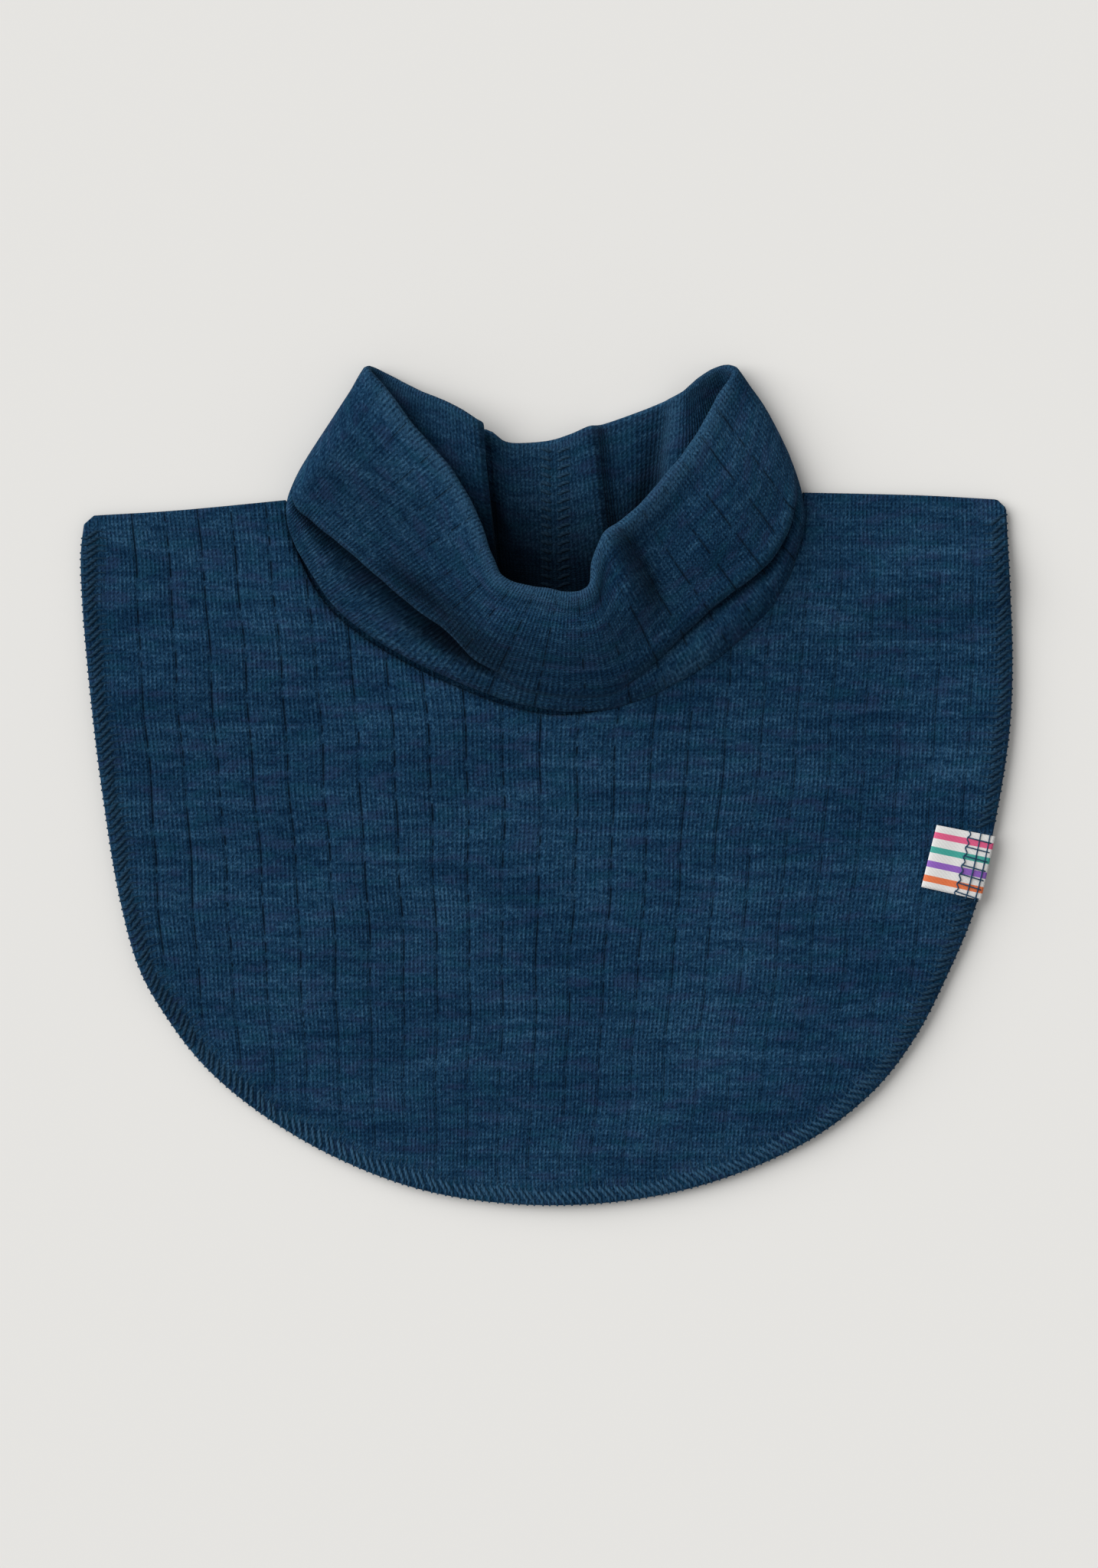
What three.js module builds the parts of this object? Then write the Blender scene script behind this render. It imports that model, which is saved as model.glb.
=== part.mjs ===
// A small child's dickey in drop-needle wool rib, lying face up on a flat surface.
// Two panels are joined at the shoulders; a tube of the same knit, folded double, is sewn
// into the neckline as a soft standing collar that has slumped towards the bib.
// Millimetres. +Z is up off the surface, +Y runs from the bib to the neck, +X to the right.
import * as THREE from "three";

const KNIT = 1.2; // one layer of the rib
const COLLAR_WALL = 2.4; // two layers of the rib
const SEAM_PINCH = 0.6; // the stitching pinches its lower edge to this share
const LIP_SWELL = 1.27; // the soft fold along its upper edge is this much thicker
const SIDE_WALL = 1.8; // where the collar is pressed flat at its two side folds
const BESIDE_WALL = 2.1; // one wale to either side of those folds
const GAP = 0.3; // left open along each seam
const LABEL_TAPE = 0.8;
const HALF_WIDTH = 125; // of the whole outline
const HALF_LENGTH = 112;

const BACK_Z = KNIT / 2; // mid height of the back panel
const FRONT_Z = KNIT + GAP + KNIT / 2; // mid height of the front panel where it lies flat
const NECK_LIFT = 2.3; // the collar holds the front neckline up by this much
const NECK_REACH = 15; // and the lift fades out over this distance
const SHOULDER_FADE = { from: 52, to: 74 }; // in y: the lift is gone at the shoulder seams
const TURN_OVER = 3; // a fold that overhangs this far has turned right over
const TURN_RADIUS = 1.5; // of its two round turns, at mid wall
const SEAM_RISE = 2.2; // the collar stands straight up out of its seam this far
const BACK_WALL_Z = 1.6; // mid height of the collar's back wall at its seam
const BACK_SWELL = 0.45; // share of the back wall at which it lies at its middle height
const BACK_INSET = 1.4; // the back panel lies this far inside the front one

const COLUMN_STEP = 4.4; // longest facet around the collar
const HEIGHTS = [0, 0.05, 0.13, 0.17, 0.21, 0.25, 0.31, 0.66, 1]; // of section points, as shares of the wall
const SPAN_STEPS = [1, 3, 1, 1, 1, 1, 4, 2]; // facets between one section point and the next
const LIP_STEPS = 4; // facets over the fold at its edge

const NECK_SAMPLES = 60; // points along the neckline that the panel's lift is measured from
const FRONT_GRID = { columns: 56, lengthSteps: 18 };
const BACK_GRID = { columns: 36, lengthSteps: 8 };
const LABEL_GRID = 4;

const WOOL = { color: 0x19354b, roughness: 0.95 };
const SHADED_WOOL = { color: 0x122c40, roughness: 0.95 };
const TAPE = { color: 0xe9e6e2, roughness: 0.6 };

// A table becomes one object for each row, with the columns as names.
function rows(columns, table) {
  return table.map((row) => Object.fromEntries(columns.map((name, i) => [name, row[i]])));
}

const vec = (x, y, z = 0) => new THREE.Vector3(x, y, z);
const mix = (a, b, t) => a + (b - a) * t;
const between = (p, q, t) => new THREE.Vector3().lerpVectors(p, q, t);
const smooth = (from, to, x) => THREE.MathUtils.smoothstep(x, from, to);

function curveThrough(points, closed = false) {
  return new THREE.CatmullRomCurve3(points.map((p) => vec(p.x, p.y, p.z)), closed, "centripetal");
}

// Outer edge of the bib, from the left shoulder's corner down, along the hem and up again.
const OUTER_EDGE = rows(["x", "y"], [
  [-123.9, 71.6],
  [-125.0, 62.0],
  [-124.6, 48.0],
  [-122.0, 20.0],
  [-118.7, -6.0],
  [-114.5, -31.0],
  [-109.3, -49.5],
  [-102.0, -62.5],
  [-92.0, -75.3],
  [-77.5, -87.6],
  [-57.0, -99.7],
  [-33.0, -108.6],
  [-5.0, -112.4],
  [24.0, -110.7],
  [49.0, -105.5],
  [72.0, -94.7],
  [88.0, -82.0],
  [98.5, -68.5],
  [107.0, -52.5],
  [115.2, -32.5],
  [120.8, -8.0],
  [124.3, 15.0],
  [125.0, 34.0],
  [124.0, 57.0],
  [122.2, 75.9],
]);
// Shoulder edges, from the neck outwards.
const LEFT_SHOULDER = rows(["x", "y"], [
  [-71.6, 76.0],
  [-99.5, 73.1],
  [-123.9, 71.6],
]);
const RIGHT_SHOULDER = rows(["x", "y"], [
  [69.3, 78.5],
  [100.0, 76.8],
  [122.2, 75.9],
]);

// Soft ridges of the front panel: each runs from one point to another and fades at both ends.
const PANEL_FOLDS = rows(["x0", "y0", "x1", "y1", "height", "width"], [
  [66, 46, 118, 58, 2.2, 11],
  [-70, 44, -116, 20, 1.2, 12],
  [-34, 14, -64, -44, 0.9, 14],
  [30, 2, 62, -60, 0.9, 16],
  [116, -10, 104, -52, 1.6, 8],
  [-118, 5, -106, -50, 1.2, 8],
  [-46, -101, 44, -103, 1.0, 9],
]);

// Collar, front wall, from the left side fold round to the right one. Each row is one line
// up the wall: it leaves the neck seam, is tucked under a fold low down, rolls out over it
// and rises over the belly of the wall to its edge. Over is how far the fold overhangs.
const FRONT_WALL = rows(
  ["neckX", "neckY", "neckZ", "foldX", "foldY", "tuckZ", "lipZ", "over", "belly", "edgeX", "edgeY", "edgeZ"],
  [
    [-69.2, 71.8, 3.8, -65.6, 77.0, 6.4, 8.0, -1.0, 0.8, -43.2, 105.4, 8.4],
    [-67.4, 65.2, 3.8, -63.2, 70.4, 6.0, 8.8, 1.0, 1.6, -36.0, 95.6, 11.0],
    [-62.6, 56.6, 3.8, -55.3, 62.2, 5.8, 8.8, 2.6, 2.4, -25.9, 83.7, 14.4],
    [-56.5, 47.9, 3.8, -46.4, 54.3, 5.8, 8.8, 3.0, 2.8, -18.9, 71.5, 18.0],
    [-47.7, 40.6, 3.8, -37.2, 46.2, 5.8, 8.8, 3.0, 3.2, -14.9, 60.4, 21.0],
    [-35.5, 33.4, 3.6, -28.2, 39.0, 6.2, 9.2, 2.7, 3.4, -12.0, 54.8, 22.6],
    [-23.3, 27.8, 3.4, -19.2, 33.0, 7.4, 10.8, 0.6, 3.2, -6.6, 52.6, 23.4],
    [-10.0, 22.9, 3.4, -7.6, 30.2, 9.4, 13.0, -3.0, 2.4, -0.2, 51.6, 23.6],
    [4.8, 20.3, 3.4, 5.6, 28.6, 9.4, 12.8, -4.0, 2.4, 6.0, 50.6, 23.6],
    [17.7, 21.8, 3.4, 16.6, 29.0, 9.2, 12.4, -3.6, 2.6, 10.5, 52.4, 23.6],
    [26.6, 25.1, 3.4, 24.4, 31.4, 8.6, 11.8, -2.4, 2.8, 11.6, 59.6, 23.4],
    [34.8, 29.4, 3.4, 31.6, 36.0, 8.0, 11.0, -1.4, 1.2, 14.6, 66.4, 22.4],
    [42.8, 34.2, 3.4, 38.6, 42.0, 7.6, 10.4, -1.0, -1.8, 19.8, 70.2, 19.8],
    [49.9, 39.8, 3.4, 45.2, 47.6, 7.2, 10.8, -0.6, -0.4, 25.5, 75.6, 17.8],
    [56.9, 46.2, 3.4, 51.8, 54.0, 7.0, 11.0, -0.4, 1.0, 30.5, 81.8, 15.6],
    [61.8, 53.6, 3.4, 57.4, 60.2, 6.8, 10.6, -0.4, 1.6, 35.6, 87.9, 13.2],
    [65.0, 63.1, 3.5, 61.8, 68.0, 6.8, 9.4, -0.6, 1.6, 40.4, 95.2, 11.0],
    [67.1, 71.2, 3.8, 64.4, 76.6, 6.5, 8.0, -1.0, 0.8, 44.6, 103.0, 8.6],
  ],
);

// Collar, side folds: the crease of the flattened tube from the neck seam to its tip, as one
// line on the front side of the fold and one on the back side.
const SIDE_COLUMNS = [
  "neckX", "neckY", "neckZ", "foldX", "foldY", "bellyX", "bellyY", "edgeX", "edgeY", "edgeZ",
];
const RIGHT_FOLD = rows(SIDE_COLUMNS, [
  [67.5, 75.8, 4.2, 64.7, 84.5, 58.6, 97.0, 48.3, 110.6, 5.9],
  [66.4, 77.2, 2.6, 64.2, 85.2, 58.4, 97.6, 48.2, 111.7, 3.5],
]);
const LEFT_FOLD = rows(SIDE_COLUMNS, [
  [-68.7, 75.8, 2.6, -65.0, 84.4, -58.2, 96.6, -47.6, 111.5, 3.5],
  [-69.7, 75.0, 4.2, -66.2, 83.2, -58.4, 96.0, -47.6, 110.4, 5.9],
]);

// Collar, back wall, from the right side fold round to the left one. It lies almost flat;
// a deep pleat steps up to the left of the middle and two low ones lie to the right.
const BACK_WALL = rows(["neckX", "neckY", "midZ", "edgeX", "edgeY", "edgeZ"], [
  [63.5, 73.0, 1.8, 44.4, 109.4, 1.9],
  [57.0, 66.6, 2.2, 40.4, 107.8, 3.8],
  [48.5, 60.8, 2.8, 35.4, 103.6, 6.4],
  [39.0, 56.4, 4.6, 30.2, 101.0, 3.4],
  [29.0, 52.6, 3.6, 20.6, 97.4, 2.2],
  [20.0, 49.8, 1.8, 13.2, 95.3, 2.2],
  [15.6, 49.0, 3.2, 10.0, 94.6, 4.2],
  [2.4, 47.6, 2.4, 2.2, 92.0, 3.4],
  [-6.0, 48.0, 1.9, -8.0, 90.8, 2.4],
  [-11.4, 48.5, 1.8, -18.0, 94.8, 2.4],
  [-13.0, 48.8, 6.2, -17.8, 96.0, 8.8],
  [-24.5, 51.4, 6.4, -26.0, 100.6, 8.6],
  [-38.0, 56.6, 4.4, -34.0, 103.9, 6.0],
  [-51.5, 63.2, 2.3, -40.6, 106.8, 3.4],
  [-63.0, 70.6, 1.8, -44.4, 109.0, 2.0],
]);

// Care label: a folded tape caught under the right hem. Its corners on the bib.
const LABEL_CORNERS = rows(["x", "y"], [
  [99.6, -27.5],
  [115.6, -31.0],
  [119.4, -14.0],
  [103.7, -11.0],
]);

// A line up the front wall as its section points, from the seam to the edge.
function frontSection(row) {
  const foot = vec(row.neckX, row.neckY, row.neckZ);
  const root = foot.clone().setZ(row.neckZ + SEAM_RISE);
  const lip = vec(row.foldX, row.foldY, row.lipZ);
  const edge = vec(row.edgeX, row.edgeY, row.edgeZ);
  const along = edge.clone().sub(lip).setZ(0).normalize();
  const tuck = lip.clone().addScaledVector(along, row.over).setZ(row.tuckZ);
  const belly = between(lip, edge, 0.5).add(vec(0, 0, row.belly));
  const turned = smooth(0, TURN_OVER, row.over);
  const corner = (from, side, up) =>
    from.clone().addScaledVector(along, side * TURN_RADIUS).add(vec(0, 0, up * TURN_RADIUS));
  const floor = between(between(root, tuck, 0.6), corner(tuck, -1, -1), turned);
  const back = between(between(tuck, lip, 0.5), corner(tuck, -1, 1), turned);
  const shoulder = between(between(lip, belly, 0.2), corner(lip, 1, 1), turned);
  const points = [foot, root, floor, tuck, back, lip, shoulder, belly, edge];
  return { points, wall: row.wall ?? COLLAR_WALL };
}

function sideSection(row) {
  const z = (share) => mix(row.neckZ, row.edgeZ, share);
  const crease = curveThrough([
    vec(row.neckX, row.neckY, z(0)),
    vec(row.foldX, row.foldY, z(0.3)),
    vec(row.bellyX, row.bellyY, z(0.7)),
    vec(row.edgeX, row.edgeY, z(1)),
  ]);
  return { points: HEIGHTS.map((share) => crease.getPointAt(share)), wall: SIDE_WALL };
}

function backSection(row) {
  const foot = vec(row.neckX, row.neckY, BACK_WALL_Z);
  const edge = vec(row.edgeX, row.edgeY, row.edgeZ);
  const swell = (share) => mix(BACK_WALL_Z, row.midZ, smooth(0, BACK_SWELL, share));
  const rise = (share) => mix(swell(share), row.edgeZ, smooth(BACK_SWELL, 1, share));
  const points = HEIGHTS.map((share) => between(foot, edge, share).setZ(rise(share)));
  return { points, wall: row.wall ?? COLLAR_WALL };
}

// Points up a section curve, with their share of the wall's height from 0 to 1.
function sectionPoints(up) {
  const spans = SPAN_STEPS.length;
  const points = SPAN_STEPS.flatMap((steps, span) =>
    Array.from({ length: steps }, (_, k) => up.getPoint((span + k / steps) / spans)));
  return [...points, up.getPoint(1)];
}

// Mid surface of the collar: columns[i][j] runs round the neck with i and up the wall with j.
function collarColumns() {
  const isEnd = (i, wall) => i === 0 || i === wall.length - 1;
  const besideFold = (row, i, wall) => (isEnd(i, wall) ? { ...row, wall: BESIDE_WALL } : row);
  const sections = [
    ...FRONT_WALL.map(besideFold).map(frontSection),
    ...RIGHT_FOLD.map(sideSection),
    ...BACK_WALL.map(besideFold).map(backSection),
    ...LEFT_FOLD.map(sideSection),
  ];
  for (const { points, wall } of sections) {
    const [belly, edge] = points.slice(-2);
    edge.addScaledVector(edge.clone().sub(belly).normalize(), (-LIP_SWELL * wall) / 2);
  }
  const rails = sections[0].points.map((_, k) => curveThrough(sections.map((s) => s.points[k]), true));
  const columns = [];
  sections.forEach((section, i) => {
    const next = sections[(i + 1) % sections.length];
    const spans = section.points.map((p, k) => p.distanceTo(next.points[k]));
    const steps = Math.max(2, Math.round(Math.max(...spans) / COLUMN_STEP));
    for (let step = 0; step < steps; step += 1) {
      const t = step / steps;
      const up = curveThrough(rails.map((rail) => rail.getPoint((i + t) / sections.length)));
      columns.push({ mid: sectionPoints(up), wall: mix(section.wall, next.wall, t) });
    }
  });
  return columns;
}

// The wall's section at one column: up the outside, over the lip and down the inside.
function collarLoops(columns) {
  const last = columns[0].mid.length - 1;
  return columns.map(({ mid, wall }, i) => {
    const before = columns.at(i - 1).mid;
    const after = columns[(i + 1) % columns.length].mid;
    const normals = mid.map((_, j) => {
      const around = after[j].clone().sub(before[j]);
      const up = mid[Math.min(j + 1, last)].clone().sub(mid[Math.max(j - 1, 0)]);
      return around.cross(up).normalize();
    });
    const pinch = (share) => mix(SEAM_PINCH, 1, smooth(0, 0.25, share));
    const swell = (share) => mix(1, LIP_SWELL, smooth(0.7, 1, share));
    const half = (j) => (wall * pinch(j / last) * swell(j / last)) / 2;
    const offset = (j, side) => mid[j].clone().addScaledVector(normals[j], side * half(j));
    const outside = mid.map((_, j) => offset(j, 1));
    const inside = mid.map((_, j) => offset(j, -1)).reverse();
    const up = mid[last].clone().sub(mid[last - 1]).normalize();
    const over = [];
    for (let k = 1; k < LIP_STEPS; k += 1) {
      const angle = (Math.PI * k) / LIP_STEPS;
      const arm = normals[last].clone().multiplyScalar(Math.cos(angle)).addScaledVector(up, Math.sin(angle));
      over.push(mid[last].clone().addScaledVector(arm, half(last)));
    }
    return [...outside, ...over, ...inside];
  });
}

function geometryOf(points, triangles) {
  const geometry = new THREE.BufferGeometry();
  const coordinates = points.flatMap((p) => [p.x, p.y, p.z]);
  geometry.setAttribute("position", new THREE.Float32BufferAttribute(coordinates, 3));
  geometry.setIndex(triangles);
  geometry.computeVertexNormals();
  return geometry;
}

// A closed ring of closed loops.
function ringGeometry(loops) {
  const size = loops[0].length;
  const id = (i, k) => (i % loops.length) * size + (k % size);
  const triangles = [];
  for (let i = 0; i < loops.length; i += 1) {
    for (let k = 0; k < size; k += 1) {
      triangles.push(id(i, k), id(i + 1, k), id(i + 1, k + 1));
      triangles.push(id(i, k), id(i + 1, k + 1), id(i, k + 1));
    }
  }
  return geometryOf(loops.flat(), triangles);
}

// A sheet of even thickness over a grid of mid points, grid[column][row].
function sheetGeometry(grid, thickness) {
  const columns = grid.length;
  const height = grid[0].length;
  const flat = grid.flat();
  const raise = (side) => flat.map((p) => vec(p.x, p.y, p.z + (side * thickness) / 2));
  const top = (i, j) => i * height + j;
  const bottom = (i, j) => flat.length + top(i, j);
  const triangles = [];
  const quad = (a, b, c, d) => triangles.push(a, b, c, a, c, d);
  for (let i = 0; i + 1 < columns; i += 1) {
    for (let j = 0; j + 1 < height; j += 1) {
      quad(top(i, j), top(i + 1, j), top(i + 1, j + 1), top(i, j + 1));
      quad(bottom(i, j), bottom(i, j + 1), bottom(i + 1, j + 1), bottom(i + 1, j));
    }
  }
  for (let i = 0; i + 1 < columns; i += 1) {
    quad(top(i, 0), bottom(i, 0), bottom(i + 1, 0), top(i + 1, 0));
    quad(top(i + 1, height - 1), bottom(i + 1, height - 1), bottom(i, height - 1), top(i, height - 1));
  }
  for (let j = 0; j + 1 < height; j += 1) {
    quad(top(0, j + 1), bottom(0, j + 1), bottom(0, j), top(0, j));
    quad(top(columns - 1, j), bottom(columns - 1, j), bottom(columns - 1, j + 1), top(columns - 1, j + 1));
  }
  return geometryOf([...raise(1), ...raise(-1)], triangles);
}

// The neckline of a panel: the collar's seam line moved off the collar, away from the hole.
function necklineOf(wallRows, distance) {
  const seam = curveThrough(wallRows.map((row) => ({ x: row.neckX, y: row.neckY, z: 0 })));
  return (t) => {
    const along = seam.getTangent(t);
    return seam.getPoint(t).add(vec(along.y, -along.x).multiplyScalar(distance));
  };
}

// Panel as a patch whose columns run from the outer edge in to the neckline: the first
// column is the left shoulder's edge and the last the right one's.
function panelGrid({ neckline, columns, lengthSteps, inset, height }) {
  const outer = curveThrough(OUTER_EDGE);
  const shoulders = [curveThrough(LEFT_SHOULDER), curveThrough(RIGHT_SHOULDER)];
  const [neckLeft, neckRight] = shoulders.map((edge) => edge.getPoint(0));
  const [outerLeft, outerRight] = [outer.getPoint(0), outer.getPoint(1)];
  const inner = (s) => {
    if (s === 0) return neckLeft;
    return s === 1 ? neckRight : neckline((s * columns - 0.5) / (columns - 1));
  };
  return Array.from({ length: columns + 1 }, (_, i) => {
    const s = i / columns;
    const [near, far] = [inner(s), outer.getPointAt(s)];
    return Array.from({ length: lengthSteps + 1 }, (_, j) => {
      const t = (1 + Math.cos((Math.PI * j) / lengthSteps)) / 2;
      const across = between(shoulders[0].getPointAt(t), shoulders[1].getPointAt(t), s);
      const corners = between(between(neckLeft, outerLeft, t), between(neckRight, outerRight, t), s);
      const p = between(near, far, t).add(across).sub(corners);
      const x = p.x * (1 - inset / HALF_WIDTH);
      const y = p.y * (1 - inset / HALF_LENGTH);
      return vec(x, y, height(x, y));
    });
  });
}

function foldHeight(x, y) {
  const point = vec(x, y);
  return PANEL_FOLDS.reduce((sum, fold) => {
    const line = new THREE.Line3(vec(fold.x0, fold.y0), vec(fold.x1, fold.y1));
    const away = line.closestPointToPoint(point, true, vec(0, 0)).distanceTo(point);
    return sum + fold.height * Math.exp(-((away / fold.width) ** 2));
  }, 0);
}

const frontNeckline = necklineOf(FRONT_WALL, COLLAR_WALL / 2 + GAP);
const backNeckline = necklineOf([...BACK_WALL].reverse(), GAP);
const neckPoints = Array.from({ length: NECK_SAMPLES + 1 }, (_, k) => frontNeckline(k / NECK_SAMPLES));

function frontHeight(x, y) {
  const point = vec(x, y);
  const away = Math.min(...neckPoints.map((p) => p.distanceTo(point)));
  const lift = NECK_LIFT / (1 + (away / NECK_REACH) ** 2);
  const free = 1 - smooth(SHOULDER_FADE.from, SHOULDER_FADE.to, y);
  return FRONT_Z + (lift + foldHeight(x, y)) * free;
}

function labelGrid() {
  const [a, b, c, d] = LABEL_CORNERS.map((p) => vec(p.x, p.y));
  return Array.from({ length: LABEL_GRID + 1 }, (_, i) =>
    Array.from({ length: LABEL_GRID + 1 }, (_, j) => {
      const p = between(between(a, b, i / LABEL_GRID), between(d, c, i / LABEL_GRID), j / LABEL_GRID);
      return p.setZ(frontHeight(p.x, p.y) + KNIT / 2 + GAP + LABEL_TAPE / 2);
    }),
  );
}

function mesh(name, geometry, finish) {
  const made = new THREE.Mesh(geometry, new THREE.MeshStandardMaterial({ ...finish, metalness: 0 }));
  made.name = name;
  return made;
}

const frontPanel = panelGrid({
  neckline: frontNeckline, ...FRONT_GRID, inset: 0, height: frontHeight,
});
const backPanel = panelGrid({
  neckline: backNeckline, ...BACK_GRID, inset: BACK_INSET, height: () => BACK_Z,
});

const dickey = new THREE.Group();
dickey.add(
  mesh("front_panel", sheetGeometry(frontPanel, KNIT), WOOL),
  mesh("back_panel", sheetGeometry(backPanel, KNIT), SHADED_WOOL),
  mesh("collar", ringGeometry(collarLoops(collarColumns())), WOOL),
  mesh("label", sheetGeometry(labelGrid(), LABEL_TAPE), TAPE),
);

export default dickey;
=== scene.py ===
# %% [markdown]
# # A small child's knitted dickey
# A dickey is a collar with a bib in front and one behind, worn under a jumper. This one is
# knitted in a fine drop-needle rib of heathered wool, lies face up on a pale floor and has a
# standing collar that has slumped over its own foot. The packed CAD model is the fixed frame:
# every piece below is built in metres around it.

# %% Load the packed frame
import math

import bpy
import numpy as np
from mathutils.geometry import delaunay_2d_cdt
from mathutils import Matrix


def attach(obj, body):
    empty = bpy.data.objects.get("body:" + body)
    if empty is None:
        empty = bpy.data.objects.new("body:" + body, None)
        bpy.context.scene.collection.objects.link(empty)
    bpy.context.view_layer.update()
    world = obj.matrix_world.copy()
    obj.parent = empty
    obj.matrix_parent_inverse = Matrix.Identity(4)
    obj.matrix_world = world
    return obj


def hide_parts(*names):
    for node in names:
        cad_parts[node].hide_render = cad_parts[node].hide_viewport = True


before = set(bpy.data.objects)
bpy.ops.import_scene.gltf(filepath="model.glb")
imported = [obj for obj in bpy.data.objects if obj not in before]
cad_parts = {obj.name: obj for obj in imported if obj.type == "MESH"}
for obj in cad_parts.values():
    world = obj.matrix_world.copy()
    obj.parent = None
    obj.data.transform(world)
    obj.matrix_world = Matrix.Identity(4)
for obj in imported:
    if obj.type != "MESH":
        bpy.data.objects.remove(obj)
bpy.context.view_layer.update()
MM = 0.001

# %% [markdown]
# ## Camera
# The picture was taken from straight above with a long lens, so the camera hangs over the
# middle of the bib. Its focal length follows from the height and from how many millimetres of
# floor the picture takes in. Depth of field stays off.

# %% Camera straight above
PICTURE_HEIGHT = 2048  # in picture elements
MM_PER_ELEMENT = 0.20475
CAMERA_HEIGHT = 1.6
SENSOR = 36.0

lens = bpy.data.cameras.new("camera")
lens.sensor_fit = "VERTICAL"
lens.sensor_height = SENSOR
lens.lens = SENSOR * CAMERA_HEIGHT / (PICTURE_HEIGHT * MM_PER_ELEMENT * MM)
lens.clip_start = 0.05
camera = bpy.data.objects.new("camera", lens)
camera.location = (0, 0, CAMERA_HEIGHT)
bpy.context.collection.objects.link(camera)
bpy.context.scene.camera = camera
print("focal length in mm:", round(lens.lens, 1))

# %% [markdown]
# ## Floor and studio light
# The light is broad and soft and comes mostly from the left and above, so the knit's small
# grooves show and the shadows on the right stay pale. A broad sun makes that light, alike
# all over the floor, and the world fills in the rest.

# %% Floor
FLOOR_SIZE = 6.0
FLOOR_DROP = 0.0002  # below the knit, so that the two never share a plane

bpy.ops.object.select_all(action="DESELECT")
bpy.ops.mesh.primitive_plane_add(size=FLOOR_SIZE, location=(0, 0, -FLOOR_DROP))
floor = bpy.context.object
floor.name = "floor"
bpy.ops.object.transform_apply(location=True, rotation=True, scale=True)
print("floor in metres:", FLOOR_SIZE)

# %% Lamp and world
LAMP_PLACE = (-1.0, 0.52, 0.80)  # it shines from here to the middle of the bib
LAMP_WIDTH = 62  # in degrees, so that its shadows fade out slowly
LAMP_STRENGTH = 3.15
SKY_STRENGTH = 0.40

lamp = bpy.data.lights.new("key_light", "SUN")
lamp.angle = math.radians(LAMP_WIDTH)
lamp.energy = LAMP_STRENGTH
holder = bpy.data.objects.new("key_light", lamp)
holder.location = LAMP_PLACE
holder.rotation_euler = (-holder.location).to_track_quat("-Z", "Y").to_euler()
bpy.context.collection.objects.link(holder)

world = bpy.data.worlds.new("studio")
world.use_nodes = True
sky = world.node_tree.nodes["Background"].inputs
sky["Color"].default_value = (1.0, 1.0, 1.0, 1.0)
sky["Strength"].default_value = SKY_STRENGTH
bpy.context.scene.world = world
bpy.context.scene.view_settings.view_transform = "Standard"
print("lamp strength:", LAMP_STRENGTH, "world strength:", SKY_STRENGTH)

# %% [markdown]
# ## Shader maths
# A shader is easier to read as a sum than as a web of nodes. A Wire is one output of a node,
# and adding or multiplying wires adds the Math nodes. Every other node comes from one method.


# %% Wires that can be added and multiplied
class Wire:
    def __init__(self, board, socket):
        self.board = board
        self.socket = socket

    def maths(self, operation, *values):
        sockets = dict(enumerate(values))
        return self.board.node("ShaderNodeMath", {"operation": operation}, sockets)

    def __add__(self, other):
        return self.maths("ADD", self, other)

    def __sub__(self, other):
        return self.maths("SUBTRACT", self, other)

    def __rsub__(self, other):
        return self.maths("SUBTRACT", other, self)

    def __mul__(self, other):
        return self.maths("MULTIPLY", self, other)

    def __truediv__(self, other):
        return self.maths("DIVIDE", self, other)

    __radd__ = __add__
    __rmul__ = __mul__

    def wave(self):
        """A cosine of this many turns, from 0 to 1."""
        return self.maths("COSINE", self * (2 * math.pi)) * 0.5 + 0.5

    def fraction(self):
        return self.maths("FRACT", self)

    def size(self):
        return self.maths("ABSOLUTE", self)

    def between(self, low, high):
        """0 below low, 1 above high and smooth between them."""
        sockets = {"Value": self, "From Min": low, "From Max": high, "To Min": 0.0, "To Max": 1.0}
        settings = {"interpolation_type": "SMOOTHSTEP"}
        return self.board.node("ShaderNodeMapRange", settings, sockets)


print("a wire also has:", [name for name in vars(Wire) if not name.startswith("_")])


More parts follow.
